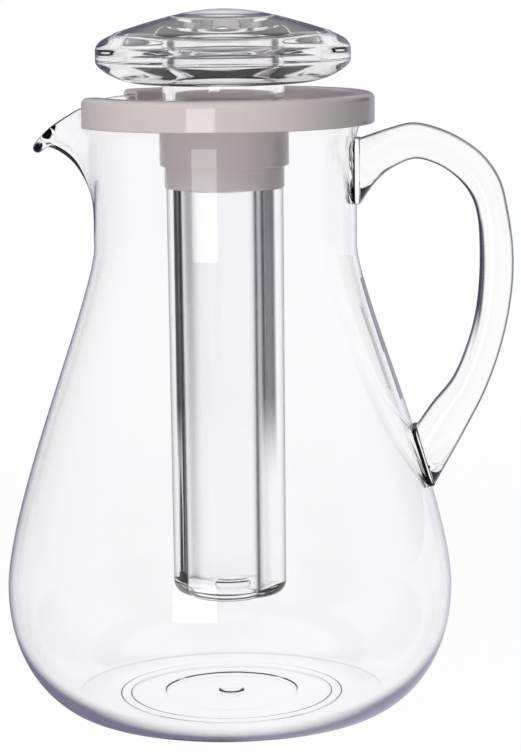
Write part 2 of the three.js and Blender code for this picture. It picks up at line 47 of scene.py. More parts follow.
# Jug body
JUG_WALL = 3.2
RIM_WALL = 2.8
FOOT_HEIGHT = 0.8
FOOT_RECESS = 1.2
FOOT_RADIUS = 43
FOOT_WIDTH = 4.5
FOOT_CHAMFER = 0.7
FLOOR_STEP_RADIUS = 25
FLOOR_STEP = 0.4
PIP_RADIUS = 5
PIP_HEIGHT = 0.8
BOWL_RADIUS = 59.2
BOWL_RUN_OUT = 3.2
BOWL_LIFT_SHARE = 0.75
BELLY_RADIUS = 84.6
BELLY_HEIGHT = 46.9
RIM_HEIGHT = 231.2
NECK_RADIUS = 49.4
NECK_DROP = 53.2
SHOULDER_DROP_SHARE = 0.245
SHOULDER_TURN_SHARE = 0.11
SHOULDER_TUCK = 1.8
RIM_FLARE = 4.8

# Spout
SPOUT_REACH = 71.2
SPOUT_TIP_DROP = 15.7
SPOUT_ROOT_DROP = 41.2
SPOUT_HALF_ANGLE = math.radians(12.6)
SPOUT_SHARPNESS = 1.9
SPOUT_EARLY_SHARE = 0.3
SPOUT_EARLY_SHARPNESS = 0.5
SPOUT_LATE_SHARPNESS = 1.5
SPOUT_CROWDING = 0.4
LIP_WALL = 3.6
RIM_SHARES = [(0, 0), (0, 0.28), (0, 0.5), (0.03, 0.68), (0.36, 0.8), (0.95, 0.9), (1, 1)]
LIP_SHARES = [(0, 0), (0.07, 0.3), (0.2, 0.58), (0.39, 0.83), (0.62, 1), (0.84, 1.08), (1, 1)]

# Handle and its pads
PAD_PROUD = 1.7
PAD_WIDTH = 18
PAD_CORNER = 4
PAD_EDGE = 0.6
PAD_EDGE_TURN = 0.3
UPPER_PAD_HEIGHT = 24.5
UPPER_PAD_DROP = 14.6
LOWER_PAD_LENGTH = 23.5
LOWER_PAD_CENTRE_HEIGHT = 96.5
HANDLE_REACH = 107.8
HANDLE_RISE = 5.5
GRIP_WIDTH = 17
GRIP_ROUNDNESS = 2.6
GRIP_END_SHARPNESS = 6
GRIP_MARGIN = 0.1
OUTER_EDGE_SHARES = [
    (0.1, 0.972), (0.19, 0.985), (0.34, 1), (0.5, 0.985), (0.66, 0.952), (0.81, 0.9), (0.915, 0.83),
    (0.965, 0.743), (1, 0.63), (1, 0.53), (0.97, 0.425), (0.915, 0.32), (0.82, 0.2), (0.71, 0.1)]
INNER_EDGE_SHARES = [
    (0.085, 0.818), (0.19, 0.862), (0.355, 0.893), (0.48, 0.88), (0.58, 0.855), (0.665, 0.82),
    (0.73, 0.775), (0.765, 0.718), (0.778, 0.635), (0.775, 0.54), (0.752, 0.44), (0.7, 0.345),
    (0.6, 0.237), (0.465, 0.16)]

# Lid ring
LID_RISE = 2.3
LID_RUNNING_FIT = 0.5
LID_SKIRT_WALL = 1.6
LID_BAND_HEIGHT = 11.3
LID_CAP_THICKNESS = 2
LID_INNER_WALL = 1.1
LID_INNER_DEPTH = 6.6
LID_CORNER = 2.4
LID_INNER_CORNER = 1.6
LID_SKIRT_CORNER = 0.6
LID_WEB = 2
NOTCH_HALF_ANGLE = math.radians(34.25)
NOTCH_TURN = math.radians(-7.25)
POUR_GAP_DEPTH = 4.5
CUTTER_MARGIN = 1
GASKET_THICKNESS = 1
GASKET_HEIGHT = 2.6
GASKET_GAP = math.radians(50)
SEAL_ROUND = 0.4

# Sleeve, collar and seal
SLEEVE_WALL = 1.5
SLEEVE_TOP_WALL = 2.2
SLEEVE_DROP = 26.8
SLEEVE_RISE = 2.2
LEDGE_WIDTH = 2.6
LEDGE_THICKNESS = 1.4
COLLAR_RADIUS = 22.5
COLLAR_SHOW = 8.2
COLLAR_WALL = 2
COLLAR_INSERT = 7.5
TUBE_SEAL = 1.5
EDGE_ROUND = 0.35

# Ice tube
TUBE_INSET = 0.4
TUBE_TAPER = 0.5
TUBE_LENGTH = 155
TUBE_WALL = 4
TUBE_FLOOR = 3
TUBE_FOOT_CORNER = 4.5
LOBE_COUNT = 4
LOBE_OFFSET_SHARE = 0.28
LOBE_TURN = math.radians(-6)
# Width of the painted dark lines in the grooves, as an angle
GROOVE_SHADE_ANGLE = math.radians(4.5)
TUBE_NUB_RADIUS = 5.5
TUBE_NUB_HEIGHT = 2.4

# Stopper
STOPPER_RADIUS = 47.6
STOPPER_LIFT = 3.9
STOPPER_HEIGHT = 27.4
STOPPER_SEAM_RISE = 8.6
STOPPER_BELLY_RISE = 12.2
CAVITY_FLOOR_RISE = 2.3
CAVITY_CEILING_RISE = 13.6
STOPPER_FLAT_SHARE = 0.62
STOPPER_CURL = 9
STOPPER_BULGE = 3
DOME_INSET = 7.4
DOME_HEIGHT = 8.5
DOME_STEP = 0.6
SHOULDER_FULLNESS = 3.2
SHOULDER_SLOPE = 0.35
DOME_PULL_SHARE = 0.67
DOME_RISE_SHARE = 0.48
DOME_PUSH_SHARE = 0.35
CAVITY_WALL = 8.6
CAVITY_CORNER = 4
NECK_STEP = 0.4
NECK_WALL = 3.5
NECK_BORE_DRAFT = 0.9
BORE_ROOF = 6.2
BORE_CORNER = 1.2
RING_GROOVE_DEPTH = 1.5
RING_GROOVE_HEIGHT = 2.4
RING_GROOVE_LIFT = 3.2
RING_ROUND = 0.5
SEAM_GROOVE = 0.12

# How finely things are divided
JUG_SLICES = 320
LID_SLICES = 256
CORE_SLICES = 192
TUBE_SLICES = 240
STOPPER_SLICES = 288
NOTCH_SLICES = 64
GASKET_SLICES = 200
CORNER_STEPS = 8
SMALL_CORNER_STEPS = 4
MEDIUM_CORNER_STEPS = 5
BORE_CORNER_STEPS = 6
ROUNDED_STEPS = 3
BOWL_STEPS = 44
SHOULDER_STEPS = 52
NECK_CURVE_STEPS = 7
RIM_STEPS = 10
GRIP_STEPS = 56
GRIP_STATIONS = 140
GRIP_EDGE_STEPS = 40
STOPPER_UNDER_STEPS = 26
STOPPER_SHOULDER_STEPS = 18
DOME_STEPS = 26
EDGE_SEGMENTS = 2

# Edges and their shading
ROUNDING_PULL = 0.6
SHARP_ANGLE = 32
GRIP_SHARP_ANGLE = 50
BEVEL_ANGLE = 50
FLAT_WEIGHT = 100

# Where the jug's wall counts as looking down, where its painted edge shade reaches further in
LOW_WALL_CLEAR = 0.5
LOW_WALL_START = 0.2
LOW_WALL_SPAN = 0.4

# Derived places
FLOOR_HEIGHT = FOOT_HEIGHT + JUG_WALL
NECK_HEIGHT = RIM_HEIGHT - NECK_DROP
RIM_RADIUS = NECK_RADIUS + RIM_FLARE
SPOUT_TIP_HEIGHT = RIM_HEIGHT - SPOUT_TIP_DROP
SPOUT_ROOT_HEIGHT = RIM_HEIGHT - SPOUT_ROOT_DROP
UPPER_PAD_TOP = RIM_HEIGHT - UPPER_PAD_DROP
HANDLE_TOP = UPPER_PAD_TOP + HANDLE_RISE
LID_TOP = RIM_HEIGHT + LID_RISE
LID_SKIRT_BOTTOM = LID_TOP - LID_BAND_HEIGHT
LID_CAP_UNDERSIDE = LID_TOP - LID_CAP_THICKNESS
LID_SKIRT_INNER = RIM_RADIUS + LID_RUNNING_FIT
LID_RADIUS = LID_SKIRT_INNER + LID_SKIRT_WALL
GASKET_OUTER = RIM_RADIUS - RIM_WALL - 2 * FIT
GASKET_INNER = GASKET_OUTER - GASKET_THICKNESS
LID_INNER_OUTER = GASKET_INNER - FIT
LID_INNER = LID_INNER_OUTER - LID_INNER_WALL
LID_INNER_BOTTOM = LID_TOP - LID_INNER_DEPTH
WEB_TOP = LID_INNER_BOTTOM + LID_WEB
SLEEVE_TOP = WEB_TOP + SLEEVE_RISE
SLEEVE_BOTTOM = LID_TOP - SLEEVE_DROP
NECK_OUTER = COLLAR_RADIUS + NECK_STEP
STOPPER_BORE = NECK_OUTER + FIT
COLLAR_BORE = COLLAR_RADIUS + FIT
SLEEVE_RADIUS = COLLAR_BORE + SLEEVE_WALL
SLEEVE_TOP_RADIUS = STOPPER_BORE + SLEEVE_TOP_WALL
COLLAR_TOP = SLEEVE_BOTTOM + COLLAR_INSERT
COLLAR_BOTTOM = SLEEVE_BOTTOM - COLLAR_SHOW
SEAL_BOTTOM = COLLAR_TOP + FIT
LEDGE_BOTTOM = SEAL_BOTTOM + TUBE_SEAL + FIT
LEDGE_TOP = LEDGE_BOTTOM + LEDGE_THICKNESS
LEDGE_BORE = STOPPER_BORE - LEDGE_WIDTH
TUBE_TOP = COLLAR_BOTTOM - FIT
TUBE_BOTTOM = TUBE_TOP - TUBE_LENGTH
TUBE_RADIUS = COLLAR_RADIUS - TUBE_INSET
TUBE_FOOT_RADIUS = TUBE_RADIUS - TUBE_TAPER
SPIGOT_RADIUS = COLLAR_RADIUS - COLLAR_WALL - FIT
TUBE_BORE = TUBE_FOOT_RADIUS - TUBE_WALL
STOPPER_BOTTOM = LID_TOP + STOPPER_LIFT
STOPPER_TOP = STOPPER_BOTTOM + STOPPER_HEIGHT
STOPPER_SEAM = STOPPER_BOTTOM + STOPPER_SEAM_RISE
STOPPER_BELLY_TOP = STOPPER_BOTTOM + STOPPER_BELLY_RISE
CAVITY_FLOOR = STOPPER_BOTTOM + CAVITY_FLOOR_RISE
CAVITY_CEILING = STOPPER_BOTTOM + CAVITY_CEILING_RISE
CAVITY_RADIUS = STOPPER_RADIUS - CAVITY_WALL
DOME_RADIUS = STOPPER_RADIUS - DOME_INSET
DOME_EDGE_HEIGHT = STOPPER_TOP - DOME_HEIGHT
NECK_BOTTOM = LEDGE_TOP + FIT
NECK_TOP = STOPPER_TOP - BORE_ROOF
NECK_BORE = NECK_OUTER - NECK_WALL


# Curves and outlines

def at(radius, height):
    return Vector((radius, height))


def blend(low, high, share):
    return low + (high - low) * share


def bend(start, pull, push, end, count):
    """Points of a cubic curve, without its first point."""
    points = []
    for step in range(1, count + 1):
        t = step / count
        points.append(
            start * (1 - t) ** 3 + pull * 3 * t * (1 - t) ** 2
            + push * 3 * t ** 2 * (1 - t) + end * t ** 3)
    return points


def corner(start, end, along_radius, count=CORNER_STEPS):
    """Quarter arc from one point to another, leaving along the radius or along the height."""
    arc_share = 0.552
    pull, push = start.copy(), end.copy()
    if along_radius:
        pull.x += (end.x - start.x) * arc_share
        push.y += (start.y - end.y) * arc_share
    else:
        pull.y += (end.y - start.y) * arc_share
        push.x += (start.x - end.x) * arc_share
    return bend(start, pull, push, end, count)


def rounded(points, radius):
    """Closed outline with each corner cut back by radius and rounded."""
    outline = []
    for index, point in enumerate(points):
        before = points[index - 1]
        after = points[(index + 1) % len(points)]
        reach = min(radius, (before - point).length / 2, (after - point).length / 2)
        start = point + (before - point).normalized() * reach
        end = point + (after - point).normalized() * reach
        pull, push = blend(start, point, ROUNDING_PULL), blend(end, point, ROUNDING_PULL)
        outline += [start] + bend(start, pull, push, end, ROUNDED_STEPS)
    return outline


def rounded_section(inner, outer, bottom, top, radius):
    """Section of a flat or tall ring, with rounded corners."""
    return rounded([at(inner, bottom), at(outer, bottom), at(outer, top), at(inner, top)], radius)


def through(points, count):
    """Smooth curve through points, count steps from each to the next, centripetal."""
    ends = [points[0] * 2 - points[1]] + list(points) + [points[-1] * 2 - points[-2]]
    curve = [points[0].copy()]
    for index in range(1, len(ends) - 2):
        p0, p1, p2, p3 = ends[index - 1:index + 3]
        pairs = ((p0, p1), (p1, p2), (p2, p3))
        t0, t1, t2 = (max((end - start).length, TINY) ** 0.5 for start, end in pairs)
        leave = ((p1 - p0) / t0 - (p2 - p0) / (t0 + t1) + (p2 - p1) / t1) * t1
        arrive = ((p2 - p1) / t1 - (p3 - p1) / (t1 + t2) + (p3 - p2) / t2) * t1
        for step in range(1, count + 1):
            t = step / count
            curve.append(
                p1 * (2 * t ** 3 - 3 * t ** 2 + 1) + leave * (t ** 3 - 2 * t ** 2 + t)
                + p2 * (3 * t ** 2 - 2 * t ** 3) + arrive * (t ** 3 - t ** 2))
    return curve


def inside(outline, wall_at):
    """The outline moved in by the wall, square to itself."""
    moved = []
    for index, point in enumerate(outline):
        before = outline[max(index - 1, 0)]
        after = outline[min(index + 1, len(outline) - 1)]
        along = (after - before).normalized()
        wall = wall_at(index)
        moved.append(at(point.x - along.y * wall, point.y + along.x * wall))
    return moved


# Meshes

def shade(mesh, sharp=SHARP_ANGLE):
    """Smooth shading with sharp edges."""
    mesh.shade_smooth()
    mesh.set_sharp_from_angle(angle=math.radians(sharp))


def piece(name, verts, faces, sharp=SHARP_ANGLE):
    """Smooth-shaded object in metres from places in millimetres."""
    mesh = bpy.data.meshes.new(name)
    mesh.from_pydata([Vector(vert) * MM for vert in verts], [], faces)
    mesh.validate()
    shade(mesh, sharp)
    made = bpy.data.objects.new(name, mesh)
    bpy.context.scene.collection.objects.link(made)
    return made


def even_angles(slices):
    return [TURN * index / slices for index in range(slices)]


def slice_rows(outlines, angles):
    """Vertices of one outline per slice, and each slice's row of their numbers. A point on the
    axis becomes one vertex."""
    verts, rows = [], []
    axis = {}
    for outline, angle in zip(outlines, angles):
        row = []
        for index, point in enumerate(outline):
            on_axis = abs(point.x) < TINY
            if on_axis and index in axis:
                row.append(axis[index])
                continue
            if on_axis:
                axis[index] = len(verts)
            row.append(len(verts))
            verts.append((point.x * math.cos(angle), point.x * math.sin(angle), point.y))
        rows.append(row)
    return verts, rows


def skin(outlines, angles, closed, full=True):
    """Vertices and faces of one outline per slice. An outline runs outwards along the underside
    and up the outside."""
    verts, rows = slice_rows(outlines, angles)
    faces = []
    slices = len(rows) if full else len(rows) - 1
    for index in range(slices):
        here, there = rows[index], rows[(index + 1) % len(rows)]
        count = len(here) if closed else len(here) - 1
        for step in range(count):
            after = (step + 1) % len(here)
            corners = [here[step], there[step], there[after], here[after]]
            kept = [v for place, v in enumerate(corners) if v != corners[place - 1]]
            if len(kept) > 2:
                faces.append(kept)
    if not full:
        faces.append(list(rows[0]))
        faces.append(list(reversed(rows[-1])))
    return verts, faces


def mark(made, name, value_at):
    """Stores a number on each vertex, from its place in millimetres and its direction."""
    marks = made.data.attributes.new(name, "FLOAT", "POINT")
    for vert, spot in zip(made.data.vertices, marks.data):
        spot.value = float(value_at(vert.co / MM, vert.normal))


def away_from_axis(low):
    """Tells outside from inside for a vessel whose floor is below low."""
    return lambda place, normal: normal.dot(place - Vector((0, 0, max(place.z, low)))) > 0


def turned(name, outline, slices):
    """Closed outline swept round a full turn."""
    verts, faces = skin([outline] * slices, even_angles(slices), True)
    return piece(name, verts, faces)


def arc_ring(name, outline, start, end, slices):
    """Closed outline swept round part of a turn, with a flat face at each end."""
    angles = [blend(start, end, index / slices) for index in range(slices + 1)]
    verts, faces = skin([outline] * len(angles), angles, True, full=False)
    return piece(name, verts, faces)


def boolean(target, cutter, operation):
    """Cuts or joins cutter into target and removes the cutter."""
    change = target.modifiers.new("change", "BOOLEAN")
    change.operation = operation
    change.solver = "EXACT"
    change.object = cutter
    depsgraph = bpy.context.evaluated_depsgraph_get()
    result = bpy.data.meshes.new_from_object(target.evaluated_get(depsgraph))
    target.modifiers.remove(change)
    target.data = result
    bpy.data.objects.remove(cutter)


def keep_flats_flat(made):
    """Lets large faces set the shading direction, so that only rounded corners look rounded."""
    even = made.modifiers.new("shading", "WEIGHTED_NORMAL")
    even.keep_sharp = True
    even.weight = FLAT_WEIGHT


# Jug body

def bowl_outside():
    base = at(BOWL_RADIUS, FOOT_HEIGHT)
    belly = at(BELLY_RADIUS, BELLY_HEIGHT)
    neck = at(NECK_RADIUS, NECK_HEIGHT)
    rise = NECK_HEIGHT - BELLY_HEIGHT
    bowl_pull = at(BOWL_RADIUS + BOWL_RUN_OUT, FOOT_HEIGHT)
    bowl_push = at(BELLY_RADIUS, BELLY_HEIGHT - (BELLY_HEIGHT - FOOT_HEIGHT) * BOWL_LIFT_SHARE)
    shoulder_pull = at(BELLY_RADIUS, BELLY_HEIGHT + rise * SHOULDER_DROP_SHARE)
    shoulder_push = at(NECK_RADIUS - SHOULDER_TUCK, NECK_HEIGHT - rise * SHOULDER_TURN_SHARE)
    bowl = bend(base, bowl_pull, bowl_push, belly, BOWL_STEPS)
    return [base] + bowl + bend(belly, shoulder_pull, shoulder_push, neck, SHOULDER_STEPS)


def neck_outside(share):
    """Outside of one slice of the neck, from the shoulder to the rim or the spout's tip."""
    early = SPOUT_EARLY_SHARE * share ** SPOUT_EARLY_SHARPNESS
    drop_share = early + (1 - SPOUT_EARLY_SHARE) * share ** SPOUT_LATE_SHARPNESS
    rim_turn = RIM_HEIGHT - RIM_WALL / 2
    lip_turn = SPOUT_TIP_HEIGHT - LIP_WALL
    stations = [at(NECK_RADIUS, NECK_HEIGHT)]
    for (rim_out, rim_up), (lip_out, lip_up) in zip(RIM_SHARES, LIP_SHARES):
        radius = blend(
            NECK_RADIUS + (RIM_RADIUS - NECK_RADIUS) * rim_out,
            NECK_RADIUS + (SPOUT_REACH - LIP_WALL / 2 - NECK_RADIUS) * lip_out, share)
        height = blend(
            SPOUT_ROOT_HEIGHT + (rim_turn - SPOUT_ROOT_HEIGHT) * rim_up,
            SPOUT_ROOT_HEIGHT + (lip_turn - SPOUT_ROOT_HEIGHT) * lip_up, drop_share)
        stations.append(at(radius, height))
    return through(stations, NECK_CURVE_STEPS)[1:]


def spout_share(angle):
    away = abs(angle - math.pi) / SPOUT_HALF_ANGLE
    return math.exp(-(away ** SPOUT_SHARPNESS))


def rim_round(outer, inner):
    """Half circle over the rim, from the outside wall to the inside wall."""
    middle = (outer + inner) / 2
    spoke = outer - middle
    points = []
    for step in range(1, RIM_STEPS):
        turn = math.pi * step / RIM_STEPS
        points.append(middle + Matrix.Rotation(turn, 2) @ spoke)
    return points


def underside():
    foot_inner = FOOT_RADIUS - FOOT_WIDTH
    inner_top = at(foot_inner, FOOT_RECESS)
    inner_foot = at(foot_inner + FOOT_CHAMFER, 0)
    outer_foot = at(FOOT_RADIUS - FOOT_CHAMFER, 0)
    outer_top = at(FOOT_RADIUS, FOOT_HEIGHT)
    points = [at(0, FOOT_RECESS), at(foot_inner / 2, FOOT_RECESS), inner_top]
    points += corner(inner_top, inner_foot, False, MEDIUM_CORNER_STEPS)
    points += [outer_foot] + corner(outer_foot, outer_top, True, MEDIUM_CORNER_STEPS)
    return points + [at(blend(FOOT_RADIUS, BOWL_RADIUS, 0.5), FOOT_HEIGHT)]


def inside_floor():
    low = FLOOR_HEIGHT - FLOOR_STEP
    step_top = at(FLOOR_STEP_RADIUS + FLOOR_STEP * 2, FLOOR_HEIGHT)
    step_foot = at(FLOOR_STEP_RADIUS, low)
    pip_foot = at(PIP_RADIUS, low)
    pip_head = at(PIP_RADIUS - PIP_HEIGHT, low + PIP_HEIGHT)
    points = [at(blend(BOWL_RADIUS, FLOOR_STEP_RADIUS, 0.5), FLOOR_HEIGHT), step_top]
    middle = blend(step_top, step_foot, 0.5)
    points += bend(step_top, middle, middle, step_foot, SMALL_CORNER_STEPS)
    points += [pip_foot] + corner(pip_foot, pip_head, False, SMALL_CORNER_STEPS)
    return points + [at(0, low + PIP_HEIGHT)]


def jug_outline(share):
    bowl = bowl_outside()
    neck = neck_outside(share)
    outer = bowl + neck
    top_wall = blend(RIM_WALL, LIP_WALL, share)

    def wall_at(index):
        if index < len(bowl):
            return JUG_WALL
        return blend(JUG_WALL, top_wall, (index - len(bowl)) / (len(neck) - 1))

    inner = inside(outer, wall_at)
    over = rim_round(outer[-1], inner[-1])
    return underside() + outer + over + list(reversed(inner)) + inside_floor()


def lower_pad_place():
    """Place and direction of the wall where the handle's lower end is cemented."""
    wall = bowl_outside()
    upper = next(i for i, p in enumerate(wall) if p.y > LOWER_PAD_CENTRE_HEIGHT)
    low, high = wall[upper - 1], wall[upper]
    share = (LOWER_PAD_CENTRE_HEIGHT - low.y) / (high.y - low.y)
    along = (high - low).normalized()
    return blend(low, high, share), along, at(along.y, -along.x)


def pad_corners(length):
    """Outline of a pad, across and along the wall."""
    corners = []
    for turn in range(4):
        side_y = 1 if turn in (0, 3) else -1
        side_z = 1 if turn in (0, 1) else -1
        middle = at(side_y * (PAD_WIDTH / 2 - PAD_CORNER), side_z * (length / 2 - PAD_CORNER))
        for step in range(CORNER_STEPS + 1):
            angle = TURN * (turn + step / CORNER_STEPS) / 4
            corners.append(middle + at(math.cos(angle), math.sin(angle)) * PAD_CORNER)
    return corners


def pad(name, length, centre, out):
    """Cushion-cornered pad whose thickness runs along out from half way through the wall."""
    sunk = JUG_WALL / 2
    thickness = sunk + PAD_PROUD
    turned_in = PAD_EDGE * PAD_EDGE_TURN
    levels = [
        (-sunk, 0), (thickness - sunk - PAD_EDGE, 0), (thickness - sunk - turned_in, turned_in),
        (thickness - sunk, PAD_EDGE)]
    corners = pad_corners(length)
    verts, faces = [], []
    upright = at(-out.y, out.x)
    size = len(corners)
    for depth, shrink in levels:
        for spot in corners:
            y = spot.x * (1 - shrink / (PAD_WIDTH / 2))
            z = spot.y * (1 - shrink / (length / 2))
            place = centre + out * depth + upright * z
            verts.append((place.x, y, place.y))
    for level in range(len(levels) - 1):
        for step in range(size):
            a, b = level * size + step, level * size + (step + 1) % size
            faces.append((a, b, b + size, a + size))
    faces.append(tuple(range(size - 1, -1, -1)))
    faces.append(tuple(range((len(levels) - 1) * size, len(levels) * size)))
    return piece(name, verts, faces)


def make_jug():
    angles = []
    for index in range(JUG_SLICES):
        even = TURN * index / JUG_SLICES
        angles.append(even + SPOUT_CROWDING * math.sin(even))
    outlines = [jug_outline(spout_share(angle)) for angle in angles]
    verts, faces = skin(outlines, angles, False)
    jug = piece("jug", verts, faces)
    upper_centre = at(NECK_RADIUS, UPPER_PAD_TOP - UPPER_PAD_HEIGHT / 2)
    boolean(jug, pad("upper_pad", UPPER_PAD_HEIGHT, upper_centre, at(1, 0)), "UNION")
    centre, _, out = lower_pad_place()
    boolean(jug, pad("lower_pad", LOWER_PAD_LENGTH, centre, out), "UNION")
    boolean(jug, make_grip(), "UNION")
    shade(jug.data)
    on_wall = away_from_axis(BELLY_HEIGHT)
    # Marks where the painted edge shade may fall: the outside of the wall and the handle
    mark(jug, "outside", lambda place, normal: on_grip(place) or on_wall(place, normal))
    # Painted shade: where the bowl's wall looks down, the painted edge shade reaches further in
    mark(jug, "low", lambda place, normal: low_wall(place, normal) * on_wall(place, normal))
    keep_flats_flat(jug)
    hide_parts("jug_body", "handle")
    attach(jug, "jug")
    return jug


def low_wall(place, normal):
    """How far the wall of the bowl looks down, from 0 to 1."""
    if place.z < FOOT_HEIGHT + LOW_WALL_CLEAR or place.z > BELLY_HEIGHT:
        return 0.0
    return min(max((-normal.z - LOW_WALL_START) / LOW_WALL_SPAN, 0.0), 1.0)


# Handle, cemented to its pads and so one with the jug

def on_grip(place):
    """Whether a place is on the handle, beyond its pads."""
    if place.x < NECK_RADIUS or abs(place.y) > PAD_WIDTH / 2 + GRIP_MARGIN or place.z > HANDLE_TOP:
        return False
    if place.z > LOWER_PAD_CENTRE_HEIGHT + LOWER_PAD_LENGTH:
        return place.x > NECK_RADIUS + PAD_PROUD
    centre, _, out = lower_pad_place()
    return (at(place.x, place.z) - centre).dot(out) > PAD_PROUD


def edge_curve(start, shares, end):
    face = NECK_RADIUS + PAD_PROUD
    middle = [
        at(face + (HANDLE_REACH - face) * reach,
           LOWER_PAD_CENTRE_HEIGHT + (HANDLE_TOP - LOWER_PAD_CENTRE_HEIGHT) * rise)
        for reach, rise in shares]
    return through([start] + middle + [end], GRIP_EDGE_STEPS)


def lower_face_point(along):
    centre, direction, out = lower_pad_place()
    return centre + out * (PAD_PROUD - CEMENTED) + direction * along


def grip_ring(outer, inner, width):
    middle, depth = (outer + inner) / 2, (outer - inner) / 2
    power = 2 / GRIP_ROUNDNESS
    ring = []
    for step in range(GRIP_STEPS):
        turn = TURN * step / GRIP_STEPS
        across = math.copysign(abs(math.cos(turn)) ** power, math.cos(turn))
        side = math.copysign(abs(math.sin(turn)) ** power, math.sin(turn))
        spot = middle + depth * across
        ring.append((spot.x, side * width / 2, spot.y))
    return ring


def make_grip():
    face = NECK_RADIUS + PAD_PROUD - CEMENTED
    outer_end, inner_end = (lower_face_point(side * LOWER_PAD_LENGTH / 2) for side in (-1, 1))
    outer = edge_curve(at(face, UPPER_PAD_TOP), OUTER_EDGE_SHARES, outer_end)
    inner = edge_curve(at(face, UPPER_PAD_TOP - UPPER_PAD_HEIGHT), INNER_EDGE_SHARES, inner_end)
    verts, faces = [], []
    for station in range(GRIP_STATIONS + 1):
        along = station / GRIP_STATIONS
        place = round(along * (len(outer) - 1))
        width = blend(GRIP_WIDTH, PAD_WIDTH, abs(2 * along - 1) ** GRIP_END_SHARPNESS)
        verts += grip_ring(outer[place], inner[place], width)
    for row in range(GRIP_STATIONS):
        for step in range(GRIP_STEPS):
            a, b = row * GRIP_STEPS + step, row * GRIP_STEPS + (step + 1) % GRIP_STEPS
            faces.append((a, a + GRIP_STEPS, b + GRIP_STEPS, b))
    last = GRIP_STATIONS * GRIP_STEPS
    faces.append(tuple(range(GRIP_STEPS)))
    faces.append(tuple(range(last + GRIP_STEPS - 1, last - 1, -1)))
    return piece("grip", verts, faces, GRIP_SHARP_ANGLE)


# Lid ring, collar and seals

def lid_outline():
    soft = EDGE_ROUND
    skirt_foot = at(LID_RADIUS - LID_SKIRT_CORNER, LID_SKIRT_BOTTOM)
    skirt_heel = at(LID_RADIUS, LID_SKIRT_BOTTOM + LID_SKIRT_CORNER)
    shoulder = at(LID_RADIUS, LID_TOP - LID_CORNER)
    crest = at(LID_RADIUS - LID_CORNER, LID_TOP)
    inner_crest = at(LID_INNER + LID_INNER_CORNER, LID_TOP)
    inner_shoulder = at(LID_INNER, LID_TOP - LID_INNER_CORNER)
    sleeve_heel = at(SLEEVE_RADIUS - soft, SLEEVE_BOTTOM)
    sleeve_foot = at(SLEEVE_RADIUS, SLEEVE_BOTTOM + soft)
    top_edge = at(SLEEVE_TOP_RADIUS, SLEEVE_TOP - soft)
    return [
        at(COLLAR_BORE, SLEEVE_BOTTOM), sleeve_heel,
        *corner(sleeve_heel, sleeve_foot, True, SMALL_CORNER_STEPS),
        at(SLEEVE_RADIUS, LID_INNER_BOTTOM), at(LID_INNER_OUTER, LID_INNER_BOTTOM),
        at(LID_INNER_OUTER, LID_CAP_UNDERSIDE), at(LID_SKIRT_INNER, LID_CAP_UNDERSIDE),
        at(LID_SKIRT_INNER, LID_SKIRT_BOTTOM), skirt_foot,
        *corner(skirt_foot, skirt_heel, True, SMALL_CORNER_STEPS),
        shoulder, *corner(shoulder, crest, False), inner_crest,
        *corner(inner_crest, inner_shoulder, True), at(LID_INNER, WEB_TOP),
        at(SLEEVE_TOP_RADIUS, WEB_TOP), top_edge,
        *corner(top_edge, at(SLEEVE_TOP_RADIUS - soft, SLEEVE_TOP), False, SMALL_CORNER_STEPS),
        at(STOPPER_BORE, SLEEVE_TOP), at(STOPPER_BORE, LEDGE_TOP), at(LEDGE_BORE, LEDGE_TOP),
        at(LEDGE_BORE, LEDGE_BOTTOM), at(COLLAR_BORE, LEDGE_BOTTOM)]


def notch_cutter():
    inner, outer = LID_INNER - POUR_GAP_DEPTH, LID_RADIUS + CUTTER_MARGIN
    bottom, top = LID_SKIRT_BOTTOM - CUTTER_MARGIN, LID_TOP + CUTTER_MARGIN
    section = [at(inner, bottom), at(outer, bottom), at(outer, top), at(inner, top)]
    middle = math.pi + NOTCH_TURN
    return arc_ring("notch", section, middle - NOTCH_HALF_ANGLE, middle + NOTCH_HALF_ANGLE, NOTCH_SLICES)


def bevel(made):
    soften = made.modifiers.new("edges", "BEVEL")
    soften.width = EDGE_ROUND * MM
    soften.segments = EDGE_SEGMENTS
    soften.limit_method = "ANGLE"
    soften.angle_limit = math.radians(BEVEL_ANGLE)
    soften.harden_normals = True


def make_lid():
    lid = turned("lid", lid_outline(), LID_SLICES)
    boolean(lid, notch_cutter(), "DIFFERENCE")
    shade(lid.data)
    bevel(lid)
    keep_flats_flat(lid)
    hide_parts("lid_ring")
    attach(lid, "lid")
    return lid


def make_collar():
    inner = COLLAR_RADIUS - COLLAR_WALL
    section = rounded_section(inner, COLLAR_RADIUS, COLLAR_BOTTOM, COLLAR_TOP, EDGE_ROUND)
    collar = turned("collar", section, CORE_SLICES)
    keep_flats_flat(collar)
    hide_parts("tube_collar")
    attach(collar, "tube")
    return collar


def make_seals():
    top = LID_CAP_UNDERSIDE - FIT
    section = rounded_section(GASKET_INNER, GASKET_OUTER, top - GASKET_HEIGHT, top, SEAL_ROUND)
    gasket = arc_ring("gasket", section, math.pi + GASKET_GAP, 3 * math.pi - GASKET_GAP, GASKET_SLICES)
    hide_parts("lid_gasket")
    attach(gasket, "lid_seat")
    section = rounded_section(TUBE_BORE, COLLAR_RADIUS, SEAL_BOTTOM, SEAL_BOTTOM + TUBE_SEAL, SEAL_ROUND)
    washer = turned("washer", section, CORE_SLICES)
    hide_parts("tube_seal")
    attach(washer, "tube_thread")
    bottom = NECK_BOTTOM + RING_GROOVE_LIFT + FIT
    top = bottom + RING_GROOVE_HEIGHT - 2 * FIT
    inner = NECK_OUTER - RING_GROOVE_DEPTH + FIT
    section = rounded_section(inner, NECK_OUTER, bottom, top, RING_ROUND)
    ring = turned("ring", section, CORE_SLICES)
    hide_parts("stopper_o_ring")
    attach(ring, "stopper_seat")
    return [gasket, washer, ring]


# Ice tube

